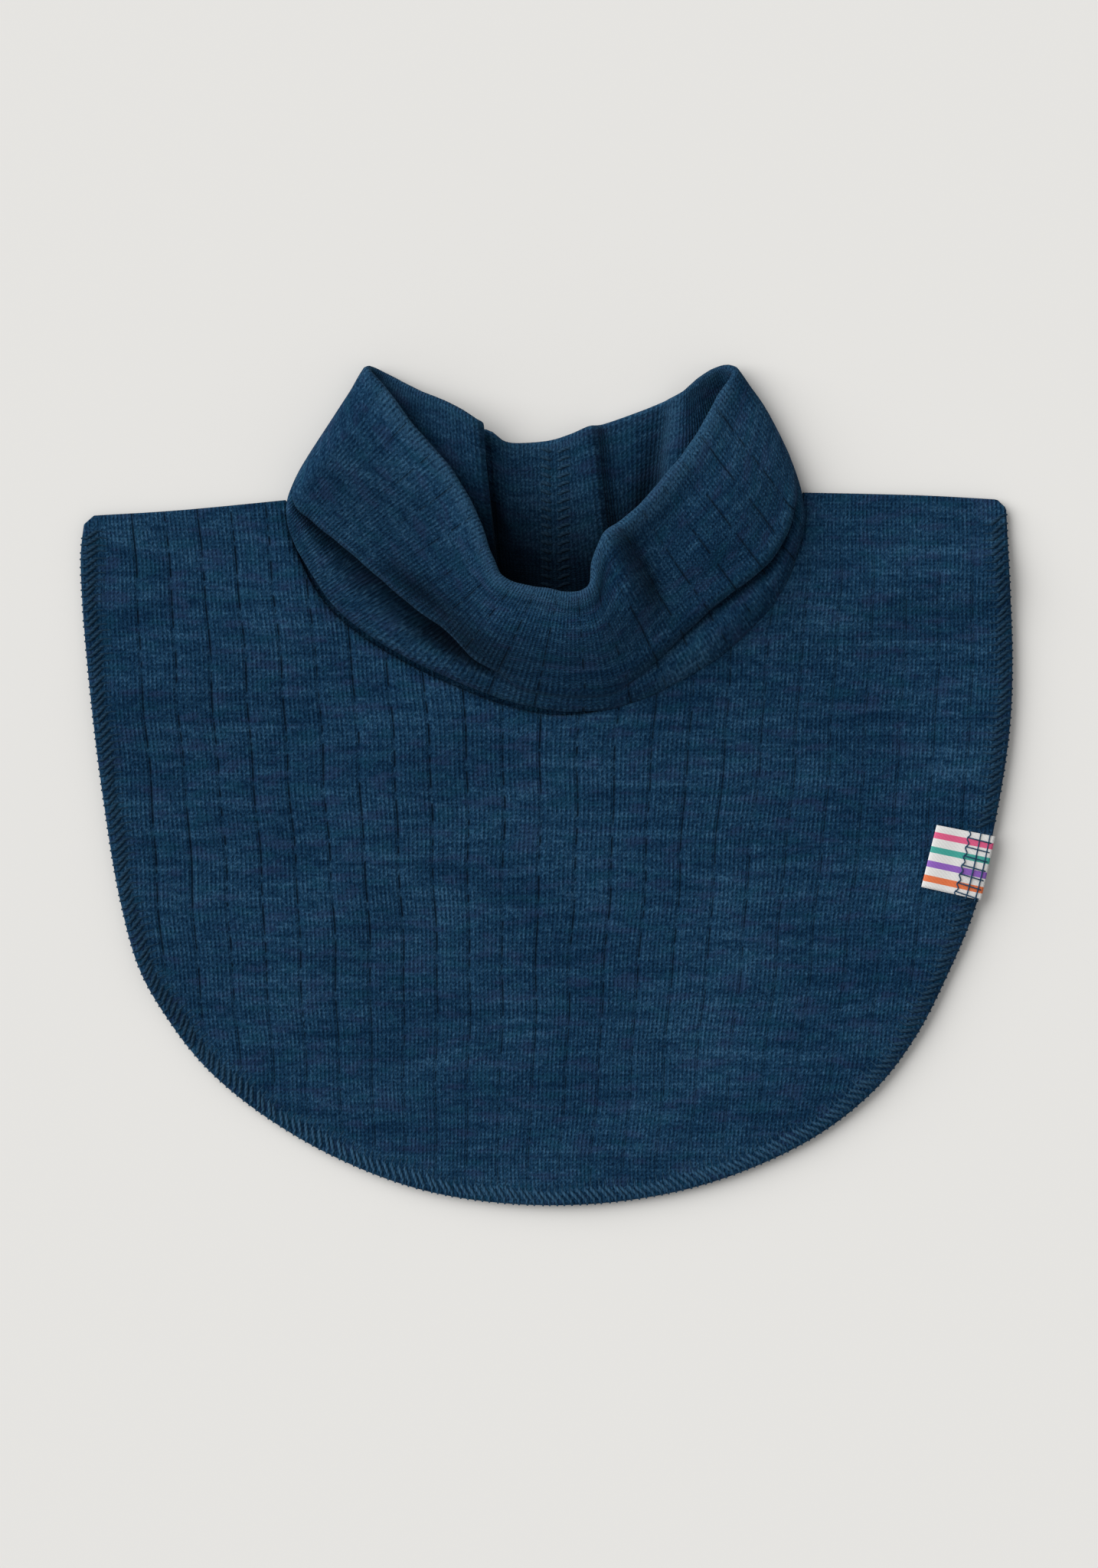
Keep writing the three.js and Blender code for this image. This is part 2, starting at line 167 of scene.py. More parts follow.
# %% The nodes of one material
class Board:
    """The board that the nodes of one material are laid out on."""

    def __init__(self, name):
        self.material = bpy.data.materials.new(name)
        self.material.use_nodes = True
        self.tree = self.material.node_tree
        self.tree.nodes.clear()

    def node(self, kind, settings, sockets, output=0):
        made = self.tree.nodes.new(kind)
        for name, value in settings.items():
            if name == "stops":
                self.set_stops(made.color_ramp, value)
            else:
                setattr(made, name, value)
        for name, value in sockets.items():
            if isinstance(value, Wire):
                self.tree.links.new(value.socket, made.inputs[name])
            else:
                made.inputs[name].default_value = value
        return Wire(self, made.outputs[output]) if len(made.outputs) else None

    def set_stops(self, ramp, stops):
        ramp.interpolation = "CONSTANT"
        while len(ramp.elements) < len(stops):
            ramp.elements.new(1.0)
        for element, (place, colour) in zip(ramp.elements, stops):
            element.position = place
            element.color = (*colour, 1.0)

    def knit_place(self, across=1.0, up=1.0, shift=0.0):
        """Place on the knit: wales across, courses up."""
        uv = self.node("ShaderNodeUVMap", {"uv_map": "knit"}, {})
        sockets = {"Vector": uv, "Location": (shift, shift, 0), "Scale": (across, up, 1.0)}
        return self.node("ShaderNodeMapping", {}, sockets)

    def parts(self, vector):
        split = self.node("ShaderNodeSeparateXYZ", {}, {"Vector": vector})
        return split, Wire(self, split.socket.node.outputs[1])

    def spread(self, name):
        """A value that the mesh holds at each point, 0 where it holds none."""
        return self.node("ShaderNodeAttribute", {"attribute_name": name}, {}, "Fac")

    def noise(self, vector, detail=2.0, roughness=0.5, scale=1.0, dimensions="2D"):
        sockets = {"Vector": vector, "Scale": scale, "Detail": detail, "Roughness": roughness}
        return self.node("ShaderNodeTexNoise", {"noise_dimensions": dimensions}, sockets)

    def blend(self, factor, low, high):
        """Mix of two colours."""
        made = self.tree.nodes.new("ShaderNodeMix")
        made.data_type = "RGBA"
        for socket, value in ((0, factor), (6, low), (7, high)):
            if isinstance(value, Wire):
                self.tree.links.new(value.socket, made.inputs[socket])
            elif socket:
                made.inputs[socket].default_value = (*value, 1.0)
            else:
                made.inputs[socket].default_value = value
        return Wire(self, made.outputs[2])

    def bump(self, height, distance, strength=1.0):
        sockets = {"Height": height, "Distance": distance, "Strength": strength}
        return self.node("ShaderNodeBump", {}, sockets)

    def surface(self, sockets):
        shader = self.node("ShaderNodeBsdfPrincipled", {}, sockets)
        self.node("ShaderNodeOutputMaterial", {}, {"Surface": shader})
        return self.material


print("a board makes:", [name for name in vars(Board) if not name.startswith("_")])

# %% [markdown]
# ## Finishes
# The wool is a heather: each stitch takes its tone from the yarn, which runs across the knit,
# so the tones change slowly along a course and quickly from one course to the next. Eight
# wales stand between two dropped needles, which leave a thin dark ladder. A picture of knit
# could be laid over the cloth, but here it is worked out from waves and noise. The knit's own
# UV map counts wales across and courses up, so the pattern follows the cloth round every fold.
# Three values kept in the mesh say where the ladders are open, where shade is painted into
# the folds and the hollow, and where a highlight is painted on.

# %% Heathered wool rib
WALES_PER_RIB = 8
DARK_WOOL = (0.0017, 0.0148, 0.041)
MID_WOOL = (0.0082, 0.0365, 0.080)
LIGHT_WOOL = (0.030, 0.088, 0.160)
PLUM_WOOL = (0.020, 0.034, 0.088)
TEAL_WOOL = (0.006, 0.052, 0.086)
# the colour that the painted highlight lightens the wool towards
PAINTED_HIGHLIGHT_COLOUR = (0.034, 0.092, 0.160)
LADDER_WOOL = tuple(0.3 * c for c in DARK_WOOL)
# the colour that painted shade darkens the wool and the thread towards
PAINTED_SHADE_COLOUR = tuple(0.06 * c for c in DARK_WOOL)
# Loose fibres catch a little light at the rim.
HALO = {"Sheen Weight": 0.05, "Sheen Roughness": 0.5, "Sheen Tint": (0.35, 0.60, 0.85, 1.0)}


def wool(name):
    b = Board(name)
    wale, course = b.parts(b.knit_place())
    across = wale.wave()
    leg = (course + (wale.fraction() - 0.5).size() * 0.9).wave()
    spots = b.noise(b.knit_place(2.0, 1.25, 3.7), 2.0, 0.65)
    mottle = b.noise(b.knit_place(0.45, 0.50, 91.7), 3.0, 0.6)
    streaks = b.noise(b.knit_place(0.06, 0.34, 11.3), 2.0, 0.55)
    clouds = b.noise(b.knit_place(0.03, 0.05, 29.1), 1.0)
    hues = b.noise(b.knit_place(0.12, 0.26, 47.9), 2.0)
    off_ladder = ((wale / WALES_PER_RIB + 0.5).fraction() - 0.5).size() * WALES_PER_RIB
    torn = b.noise(b.knit_place(0.15, 0.22, 71.3), 2.0)
    open_at, deep, worn = (b.spread(name) for name in ("open", "deep", "worn"))
    ladder = (1 - off_ladder.between(0.06, 0.34)) * torn.between(0.37, 0.56) * open_at
    yarn = spots * 0.95 + mottle * 0.42 + streaks * 0.40 + clouds * 0.25 - 0.51
    stitch = across * 0.5 + leg * 0.24
    light = (yarn + stitch * 0.22 - 0.125).between(0.10, 0.92)
    colour = b.blend(light.between(0.0, 0.5), DARK_WOOL, MID_WOOL)
    colour = b.blend(light.between(0.45, 1.0), colour, LIGHT_WOOL)
    colour = b.blend(hues.between(0.54, 0.72) * 0.32, colour, PLUM_WOOL)
    colour = b.blend(hues.between(0.44, 0.28) * 0.24, colour, TEAL_WOOL)
    colour = b.blend(ladder * 0.75, colour, LADDER_WOOL)
    # Painted highlight: the rolled top and a ridge inside are lit up, broken by the wale ticks.
    highlight_ticks = spots.between(0.30, 0.62) * 0.30 + across * 0.22 + 0.03
    colour = b.blend(worn * highlight_ticks, colour, PAINTED_HIGHLIGHT_COLOUR)
    # Painted shade: the folds, the crease and the hollow are darkened.
    colour = b.blend(deep * 0.9, colour, PAINTED_SHADE_COLOUR)
    height = stitch * 0.7 + spots * 0.5 - ladder * 0.9
    return b.surface({
        "Base Color": colour,
        "Roughness": 0.95,
        "Specular IOR Level": 0.04,
        "Normal": b.bump(height, 0.0005),
        **HALO,
    })


wool_rib = wool("wool_rib")
print("wool nodes:", len(wool_rib.node_tree.nodes))

# %% [markdown]
# The overlock thread is a bulky spun thread of nearly the wool's colour, a little lighter and
# twisted. The twist could be a mesh of its own, but each strand is under a millimetre thick,
# so a slanted stripe does: its UV map runs around and along each strand. The floor is plain
# matt paper.

# %% Overlock thread and floor finishes
DARK_THREAD = (0.005, 0.026, 0.060)
LIGHT_THREAD = (0.038, 0.106, 0.186)
PAPER = (0.80, 0.79, 0.765, 1.0)
FUZZ_SCALE = 900.0


def thread(name):
    b = Board(name)
    around, along = b.parts(b.node("ShaderNodeUVMap", {"uv_map": "strand"}, {}))
    twist = (along + around * 2.0).wave()
    place = b.node("ShaderNodeTexCoord", {}, {}, "Object")
    fuzz = b.noise(place, 3.0, scale=FUZZ_SCALE, dimensions="3D")
    shade = twist * 0.45 + fuzz * 0.75 - 0.1
    colour = b.blend(shade, DARK_THREAD, LIGHT_THREAD)
    # Painted shade darkens the thread down in the hollow, up the hem's sides and at its inner
    # ends.
    colour = b.blend(b.spread("deep") * 0.9, colour, PAINTED_SHADE_COLOUR)
    return b.surface({
        "Base Color": colour,
        "Roughness": 0.85,
        "Specular IOR Level": 0.06,
        "Normal": b.bump(twist * 0.6 + fuzz * 0.4, 0.00012),
        **HALO,
    })


overlock_thread = thread("overlock_thread")
floor_paper = Board("floor_paper").surface({"Base Color": PAPER, "Roughness": 0.9})
floor.data.materials.append(floor_paper)
print("thread nodes:", len(overlock_thread.node_tree.nodes))

# %% [markdown]
# ## Curves and grids
# Cloth could be dropped and left to settle, but this collar lies in one particular slump, so
# all the cloth is made in mesh code from a few smooth curves. The curve here passes through
# its points, with knots spaced by the root of their distance, which keeps it from looping.


# %% Smooth curves through points
def rows(names, table):
    return [dict(zip(names, row)) for row in table]


def mix(a, b, t):
    return a + (b - a) * t


def smooth(low, high, x):
    """0 at low, 1 at high and smooth between them."""
    t = np.clip((x - low) / (high - low), 0, 1)
    return t * t * (3 - 2 * t)


def curve(points, t, closed=False):
    """Smooth curve through points[0], points[1] and so on, at each t from 0 to 1."""
    points = np.asarray(points, float)
    t = np.asarray(t, float)
    count = len(points)
    if closed:
        ring = np.concatenate([points[-1:], points, points[:2]])
        place = (t % 1) * count
        span = np.minimum(place.astype(int), count - 1)
    else:
        before = 2 * points[:1] - points[1:2]
        after = 2 * points[-1:] - points[-2:-1]
        ring = np.concatenate([before, points, after])
        place = t * (count - 1)
        span = np.clip(place.astype(int), 0, count - 2)
    a, b, c, d = (ring[span + k] for k in range(4))
    w = (place - span).reshape((-1,) + (1,) * (points.ndim - 1))

    def gap(p, q):
        return np.maximum(np.sqrt(np.linalg.norm(q - p, axis=-1, keepdims=True)), 1e-4)

    ab, bc, cd = gap(a, b), gap(b, c), gap(c, d)
    leave = bc * ((b - a) / ab - (c - a) / (ab + bc) + (c - b) / bc)
    arrive = bc * ((c - b) / bc - (d - b) / (bc + cd) + (d - c) / cd)
    bend = -3 * b + 3 * c - 2 * leave - arrive
    twist = 2 * b - 2 * c + leave + arrive
    return b + w * (leave + w * (bend + w * twist))


def lengths(line):
    """Distance along a line of points, from its start."""
    steps = np.linalg.norm(np.diff(line, axis=0), axis=-1)
    return np.concatenate([[0], np.cumsum(steps)])


def spaced(line, step):
    """The same line with its points an even distance apart."""
    along = lengths(line)
    count = max(2, round(along[-1] / step) + 1)
    return at_lengths(line, np.linspace(0, along[-1], count))


def at_lengths(line, places):
    """Points of the line at these distances from its start."""
    along = lengths(line)
    return np.stack([np.interp(places, along, line[:, k]) for k in range(line.shape[1])], 1)


print("middle of a curve through three points:", curve([[0, 0], [1, 1], [2, 0]], [0.5]))

# %% [markdown]
# Real cloth is never quite flat. A ripple is a sum of a few waves with chosen sizes and drawn
# directions, from a fixed seed so that each run gives the same cloth. A fold that shows in the
# picture is a soft ridge along a short line of points.


# %% Ripples and soft ridges
def ripple(x, y, size, seed):
    """Gentle unevenness from -1 to 1, about size across, the same in each run."""
    dice = np.random.default_rng(seed)
    total = np.zeros_like(x)
    for _ in range(9):
        angle = dice.uniform(0, 2 * np.pi)
        turns = 2 * np.pi / (size * dice.uniform(0.7, 1.7))
        total += np.sin(turns * (x * np.cos(angle) + y * np.sin(angle)) + dice.uniform(0, 6.3))
    return total / 4.5


def soft_lines(folds, x, y):
    """Sum of soft ridges. Each has a width and follows points that give x, y and its height."""
    total = np.zeros_like(x)
    for width, points in folds:
        near = np.full_like(x, np.inf)
        height = np.zeros_like(x)
        for (ax, ay, start), (bx, by, end) in zip(points, points[1:]):
            t = ((x - ax) * (bx - ax) + (y - ay) * (by - ay)) / ((bx - ax) ** 2 + (by - ay) ** 2)
            t = np.clip(t, 0, 1)
            away = np.hypot(x - mix(ax, bx, t), y - mix(ay, by, t))
            height = np.where(away < near, mix(start, end, t), height)
            near = np.minimum(near, away)
        total += height * np.exp(-((near / width) ** 2))
    return total


bend = [(2.0, [[0, 0, 1.0], [10, 0, 1.0]])]
print("a ridge of 1 mm, on it and 2 mm off:", soft_lines(bend, np.array([5.0, 5.0]),
                                                        np.array([0.0, 2.0])).round(2))

# %% [markdown]
# Every piece ends as one mesh with its place in its points, so its object stays at the origin.
# A UV map gives each corner of a face a place in the pattern, and a spread gives each point a
# value, which the shader reads by its name.


# %% Mesh objects
def mesh_object(name, points, faces, material, maps, spreads=None):
    """A mesh from points in millimetres, UV pairs for each corner and values for each point."""
    data = bpy.data.meshes.new(name)
    data.from_pydata((np.asarray(points) * MM).tolist(), [], faces)
    for map_name, pairs in maps.items():
        layer = data.uv_layers.new(name=map_name)
        layer.uv.foreach_set("vector", np.asarray(pairs, np.float32).ravel())
    data.polygons.foreach_set("use_smooth", np.ones(len(data.polygons), bool))
    for spread_name, values in (spreads or {}).items():
        layer = data.attributes.new(spread_name, "FLOAT", "POINT")
        layer.data.foreach_set("value", np.asarray(values, np.float32).ravel())
    data.materials.append(material)
    data.update()
    made = bpy.data.objects.new(name, data)
    bpy.context.collection.objects.link(made)
    return made


print("one unit of the mesh code in metres:", MM)

# %% [markdown]
# ## The collar
# The collar is a tube of the rib folded double, with both raw edges sewn into the neckline.
# Lying down, its front wall has slumped over its foot: the wall leaves the seam, is tucked
# under a fold, rolls out over it and rises to a soft fold at the top. A plain tube could be
# pushed into that shape, but its ribs would smear. So it is one surface through lines that
# run up the wall, the way the wales do, and the knit's ribs simply follow them. Each row of
# the table is such a line, from the left side of the neck to the right.

# %% Lines up the front wall
FRONT_WALL = rows(
    ["neckX", "neckY", "neckZ", "crestAt", "crestZ", "foldX", "foldY", "tuckZ", "lipZ", "over",
     "belly", "edgeX", "edgeY", "edgeZ"],
    [
        [-69.2, 71.8, 3.8, 0.40, 5.4, -68.0, 74.4, 5.2, 8.2, 2.0, 0.8, -43.2, 105.4, 8.4],
        [-67.4, 65.2, 3.8, 0.35, 6.2, -63.4, 69.2, 4.9, 8.8, 2.8, 1.6, -36.0, 95.6, 11.0],
        [-62.6, 56.6, 3.8, 0.32, 6.6, -55.0, 62.4, 4.8, 8.8, 3.2, 2.4, -25.9, 83.7, 14.4],
        [-56.5, 47.9, 3.8, 0.30, 6.8, -46.0, 54.6, 4.8, 8.8, 3.4, 2.8, -18.9, 71.5, 18.0],
        [-47.7, 40.6, 3.8, 0.30, 6.8, -36.6, 46.6, 4.8, 8.8, 3.4, 3.2, -14.9, 60.4, 21.0],
        [-35.5, 33.4, 3.6, 0.30, 7.0, -27.4, 39.8, 4.8, 9.2, 3.0, 3.4, -12.0, 54.8, 22.6],
        [-23.3, 27.8, 3.4, 0.35, 7.6, -19.2, 33.4, 6.4, 10.8, 1.2, 3.2, -6.6, 52.6, 23.4],
        [-10.0, 22.9, 3.4, 0.40, 8.4, -7.6, 30.2, 9.6, 13.0, -3.0, 2.4, -0.2, 51.6, 23.6],
        [4.8, 20.3, 3.4, 0.40, 8.4, 5.6, 28.6, 9.6, 12.8, -4.0, 2.4, 6.0, 50.6, 23.6],
        [17.7, 21.8, 3.6, 0.40, 8.0, 16.6, 29.0, 9.0, 12.2, -3.6, 2.6, 10.5, 52.4, 23.6],
        [26.6, 25.1, 4.0, 0.42, 7.8, 24.4, 31.4, 8.0, 11.8, -2.4, 2.8, 11.6, 59.6, 23.4],
        [34.8, 29.4, 4.2, 0.44, 7.8, 31.6, 36.0, 7.2, 11.2, -1.6, 1.2, 14.6, 66.4, 22.4],
        [42.8, 34.2, 4.2, 0.46, 8.2, 38.6, 42.0, 6.6, 10.8, -1.0, -1.8, 19.8, 70.2, 19.8],
        [49.9, 39.8, 4.2, 0.48, 8.4, 45.2, 47.6, 6.0, 10.8, -0.6, -0.4, 25.5, 75.6, 17.8],
        [56.9, 46.2, 4.2, 0.50, 8.2, 52.5, 53.0, 5.6, 11.0, -0.2, 1.0, 30.5, 81.8, 15.6],
        [61.8, 53.6, 4.2, 0.50, 7.4, 58.7, 58.2, 5.2, 11.0, 0.4, 1.6, 35.6, 87.9, 13.2],
        [65.0, 63.1, 4.0, 0.50, 6.6, 63.4, 65.6, 5.2, 9.6, 0.2, 1.6, 40.4, 95.2, 11.0],
        [67.1, 71.2, 3.8, 0.50, 5.6, 65.7, 74.2, 5.4, 8.0, -1.0, 0.8, 44.6, 103.0, 8.6],
    ])
print("lines up the front wall:", len(FRONT_WALL))

# %% Lines up the two side folds and the back wall
SIDE_NAMES = ["neckX", "neckY", "neckZ", "foldX", "foldY", "bellyX", "bellyY",
              "edgeX", "edgeY", "edgeZ"]
RIGHT_FOLD = rows(SIDE_NAMES, [
    [67.3, 75.6, 4.2, 64.3, 84.3, 58.6, 96.6, 49.0, 110.2, 5.9],
    [66.4, 77.0, 2.6, 63.9, 85.0, 58.3, 97.2, 47.2, 111.8, 3.5],
])
LEFT_FOLD = rows(SIDE_NAMES, [
    [-68.5, 75.8, 2.6, -64.6, 84.6, -57.0, 96.8, -47.6, 111.5, 3.5],
    [-69.5, 75.0, 4.2, -65.7, 83.4, -57.1, 96.3, -47.6, 110.4, 5.9],
])
BACK_WALL = rows(["neckX", "neckY", "midZ", "edgeX", "edgeY", "edgeZ"], [
    [63.5, 73.0, 2.0, 44.4, 111.2, 2.4],
    [56.0, 66.0, 3.2, 41.0, 109.2, 4.6],
    [44.0, 58.8, 5.2, 38.2, 106.8, 6.8],
    [31.0, 53.4, 6.2, 35.2, 104.2, 7.2],
    [26.8, 52.0, 1.7, 31.8, 102.6, 2.2],
    [22.6, 50.6, 1.7, 22.4, 98.8, 2.4],
    [19.0, 49.6, 1.9, 14.0, 96.0, 2.0],
    [15.8, 49.2, 4.8, 10.6, 95.4, 5.4],
    [9.6, 48.2, 3.4, 5.8, 93.4, 4.4],
    [2.4, 47.6, 2.4, 1.0, 91.9, 3.0],
    [-5.0, 47.9, 2.0, -6.4, 91.1, 2.2],
    [-9.4, 48.3, 2.2, -11.8, 91.5, 3.2],
    [-12.0, 48.6, 2.2, -15.6, 94.2, 4.2],
    [-13.4, 48.8, 1.7, -21.4, 95.6, 1.9],
    [-14.2, 49.0, 8.2, -18.8, 96.6, 10.2],
    [-24.5, 51.4, 7.4, -26.0, 101.2, 9.2],
    [-38.0, 56.6, 4.4, -34.4, 104.9, 6.0],
    [-51.5, 63.2, 2.3, -40.6, 108.2, 3.4],
    [-63.0, 70.6, 1.8, -44.4, 110.2, 2.0],
])
print("lines up the back wall:", len(BACK_WALL))

# %% [markdown]
# A line up the front wall goes through ten points. On the left the wall turns right over and
# hangs past its foot, so the points there make an S, and below the fold a strip of the wall's
# foot still shows. On the right it only dips into a valley, and the same ten points lie in
# one soft wave. Between the two they are mixed.

# %% Points up the front wall
TURN_OVER = 3  # a fold that hangs over this far has turned right over
TURN_RADIUS = 1.5  # of its two round turns, at mid wall
TUCK_AHEAD = 1.3  # the wall starts its tuck this far before the fold
SEAM_RISE = {"left": 1.8, "right": 0.4}  # the strip stands up from its seam on the left
STANDING = (0, 30)  # x over which the strip lies down
LIP_LIFT = 2.4  # the fold above the strip stands off it
FOLD_INSET = 1.9  # and its middle line lies this far behind its visible edge
VALLEY_INSET = 1.9  # on the right, where the wall only dips above the strip
VALLEY = (18, 34)  # x over which the dip begins
SEAM_LAP = 1.0  # there the strip laps over the bib's edge


def front_line(row):
    """Points up one line of the front wall, from the seam to the top fold."""
    foot = np.array([row["neckX"], row["neckY"], row["neckZ"]])
    lap = np.array([row["neckX"] - row["foldX"], row["neckY"] - row["foldY"], 0])
    foot += lap / np.linalg.norm(lap) * SEAM_LAP * smooth(*STANDING, row["neckX"])
    left = smooth(0, TURN_OVER, row["over"])
    rise = mix(SEAM_RISE["left"], SEAM_RISE["right"], smooth(*STANDING, row["neckX"]))
    root = foot + [0, 0, rise]
    lip = np.array([row["foldX"], row["foldY"], row["lipZ"] + LIP_LIFT * left])
    edge = np.array([row["edgeX"], row["edgeY"], row["edgeZ"]])
    along = (edge - lip) * [1, 1, 0]
    along /= np.linalg.norm(along)
    right = smooth(*VALLEY, row["neckX"])
    lip += along * (FOLD_INSET * left + VALLEY_INSET * right * (1 - left))
    up = np.array([0, 0, TURN_RADIUS])
    tuck = lip + along * row["over"]
    tuck[2] = row["tuckZ"]
    crest = mix(root, lip, row["crestAt"])
    crest[2] = row["crestZ"]
    belly = mix(lip, edge, 0.5) + [0, 0, row["belly"]]
    low = mix(mix(crest, tuck, 0.7), [*(lip - along * TUCK_AHEAD)[:2], row["tuckZ"] - 1.0], left)
    back = mix(mix(tuck, lip, 0.5), tuck - along * TURN_RADIUS + up, left)
    shoulder = mix(mix(lip, belly, 0.2), lip + along * TURN_RADIUS + up, left)
    return [foot, root, crest, low, tuck, back, lip, shoulder, belly, edge]


print("points up each line:", len(front_line(FRONT_WALL[0])))

# %% [markdown]
# At its two sides the tube is pressed flat and turns round. The back wall lies nearly flat
# under the front one, with a few pleats. Their lines have points at the same ten shares of the
# way up, so that each row of points runs all round the collar.

# %% Points up the side folds and the back wall
HEIGHTS = [0, 0.04, 0.09, 0.14, 0.18, 0.21, 0.25, 0.31, 0.66, 1]
BACK_WALL_Z = 1.6  # mid height of the back wall at its seam
BACK_SWELL = 0.45  # share of the way up at which it lies at its middle height


def side_line(row):
    """Points up a side fold, which leans out between the seam and the top."""
    bends = [[row["neckX"], row["neckY"], 0], [row["foldX"], row["foldY"], 0.3],
             [row["bellyX"], row["bellyY"], 0.7], [row["edgeX"], row["edgeY"], 1]]
    bends = [[x, y, mix(row["neckZ"], row["edgeZ"], share)] for x, y, share in bends]
    crease = curve(bends, np.linspace(0, 1, 200))
    return list(at_lengths(crease, np.array(HEIGHTS) * lengths(crease)[-1]))


def back_line(row):
    """Points up one line of the back wall."""
    foot = np.array([row["neckX"], row["neckY"]])
    edge = np.array([row["edgeX"], row["edgeY"]])
    points = []
    for share in HEIGHTS:
        z = mix(BACK_WALL_Z, row["midZ"], smooth(0, BACK_SWELL, share))
        z = mix(z, row["edgeZ"], smooth(BACK_SWELL, 1, share))
        points.append(np.array([*mix(foot, edge, share), z]))
    return points


collar_lines = ([front_line(row) for row in FRONT_WALL] + [side_line(row) for row in RIGHT_FOLD]
                + [back_line(row) for row in BACK_WALL] + [side_line(row) for row in LEFT_FOLD])
print("lines up the collar:", len(collar_lines))

# %% [markdown]
# The wall is two layers thick, less where the side folds press it. Its rolled top is softer
# and thicker than the wall. The table gives the roll's outside, so each line is cut back by
# half the roll.

# %% Thickness of the collar
KNIT = 1.2  # one layer of the rib
COLLAR_WALL = 2.4
SIDE_WALL = 1.8  # where the collar is pressed flat at its side folds
BESIDE_WALL = 2.1  # one line to either side of those
FRONT_SWELL = 1.55  # the roll at the top, as a share of the wall
SIDE_SWELL = 1.35
REAR_SWELL = 1.2


def walls(lines):
    return [BESIDE_WALL if i in (0, len(lines) - 1) else COLLAR_WALL for i in range(len(lines))]


collar_walls = walls(FRONT_WALL) + [SIDE_WALL] * 2 + walls(BACK_WALL) + [SIDE_WALL] * 2
collar_swells = ([FRONT_SWELL] * len(FRONT_WALL) + [SIDE_SWELL] * 2
                 + [REAR_SWELL] * len(BACK_WALL) + [SIDE_SWELL] * 2)
for points, wall, swell in zip(collar_lines, collar_walls, collar_swells):
    tip = points[-1] - points[-2]
    points[-1] = points[-1] - tip / np.linalg.norm(tip) * swell * wall / 2
print("thickest roll in mm:", round(max(np.multiply(collar_swells, collar_walls)), 2))

# %% [markdown]
# The columns of the mesh are laid out by the ribs: a few stand close together at each dropped
# needle, so that its groove is really there in the mesh, and the rest are spread over the rib.

# %% The collar's middle surface, rib by rib
RIB_WIDTH = 9.1
RIB_PHASE = 0.4  # puts a dropped needle at the middle of the front
RIB_COLUMNS = [0, 0.035, 0.09, 0.2, 0.35, 0.5, 0.65, 0.8, 0.91, 0.965]  # shares of a rib
WALL_ROWS = [2, 4, 4, 3, 3, 3, 3, 20, 18]  # rows of the mesh between two points of a line
GIRTH_POINTS = (1, 8, 9)  # of a line: the girth is measured just above the seam and at the top

rails = np.array(collar_lines)
fine = np.linspace(0, 1, 3001)
round_wall = curve(rails, fine, closed=True)
girth = np.mean([lengths(round_wall[:, k]) for k in GIRTH_POINTS], axis=0)
collar_ribs = round(girth[-1] / RIB_WIDTH)
rib_places = np.array([rib + share for rib in range(collar_ribs) for share in RIB_COLUMNS])
rib_places = (rib_places + RIB_PHASE) % collar_ribs
rib_places.sort()
column_at = np.interp(rib_places / collar_ribs * girth[-1], girth, fine)
column_rails = np.swapaxes(curve(rails, column_at, closed=True), 0, 1)
spans = len(WALL_ROWS)
row_at = np.concatenate([(span + np.arange(n) / n) / spans for span, n in enumerate(WALL_ROWS)])
middle = curve(column_rails, np.append(row_at, 1.0))
row_count, column_count = middle.shape[:2]


def at_columns(values):
    """A value for each line, spread over the columns between the lines."""
    return np.interp(column_at * len(rails), np.arange(len(rails) + 1), values + values[:1])


print("collar:", collar_ribs, "ribs,", row_count, "rows,", column_count, "columns")

# %% [markdown]
# A dropped needle leaves a groove in the knit, and the rib between two of them is a little
# crowned. A bump map could draw both, but then the outline would stay smooth, so they are
# in the mesh, and the shader only adds the stitches.

# %% Relief of the ribs
GROOVE_DEPTH = 0.30
GROOVE_WIDTH = 0.034  # as a share of a rib
RIB_CROWN = 0.10


def rib_relief(rib, shown=1):
    """Height of the knit's face: ribs a little crowned, with a groove at each dropped needle."""
    off = np.abs((rib + 0.5) % 1 - 0.5)
    groove = GROOVE_DEPTH * np.exp(-((off / GROOVE_WIDTH) ** 2))
    return RIB_CROWN * (np.cos(2 * np.pi * off) * -0.5) - groove * shown


def surface_normals(points):
    """Normals of a closed ring of columns, points[row, column]."""
    around = np.roll(points, -1, axis=1) - np.roll(points, 1, axis=1)
    up = np.gradient(points, axis=0)
    across = np.cross(around, up)
    return across / np.linalg.norm(across, axis=-1, keepdims=True)


print("groove in mm:", round(float(rib_relief(0.5) - rib_relief(0.0)), 2))

# %% [markdown]
# The wall is then given its soft shapes: the dent and the fold beside it right of the middle,
# a shallow dip under the rolled top and a little unevenness everywhere.

# %% Folds of the collar
COLLAR_FOLDS = [
    (2.9, [[19.3, 67.0, 0], [21.4, 63.5, -2.0], [25.6, 56.5, -3.4], [29.0, 49.5, -3.5],
           [32.2, 44.0, -1.4], [34.4, 41.0, 0]]),
    (3.0, [[14.6, 66.0, 0.4], [17.0, 60.0, 1.6], [20.6, 51.0, 2.6], [24.0, 44.0, 1.2],
           [27.0, 39.5, 0]]),
    (5.0, [[31.0, 52.0, 0.5], [41.0, 62.0, 0.9]]),
    (5.0, [[-30.0, 52.0, -0.8], [-20.0, 46.0, -0.8]]),
]
TOP_DIP = 0.3
UNEVEN = {"height": 0.22, "size": 17, "seed": 5}

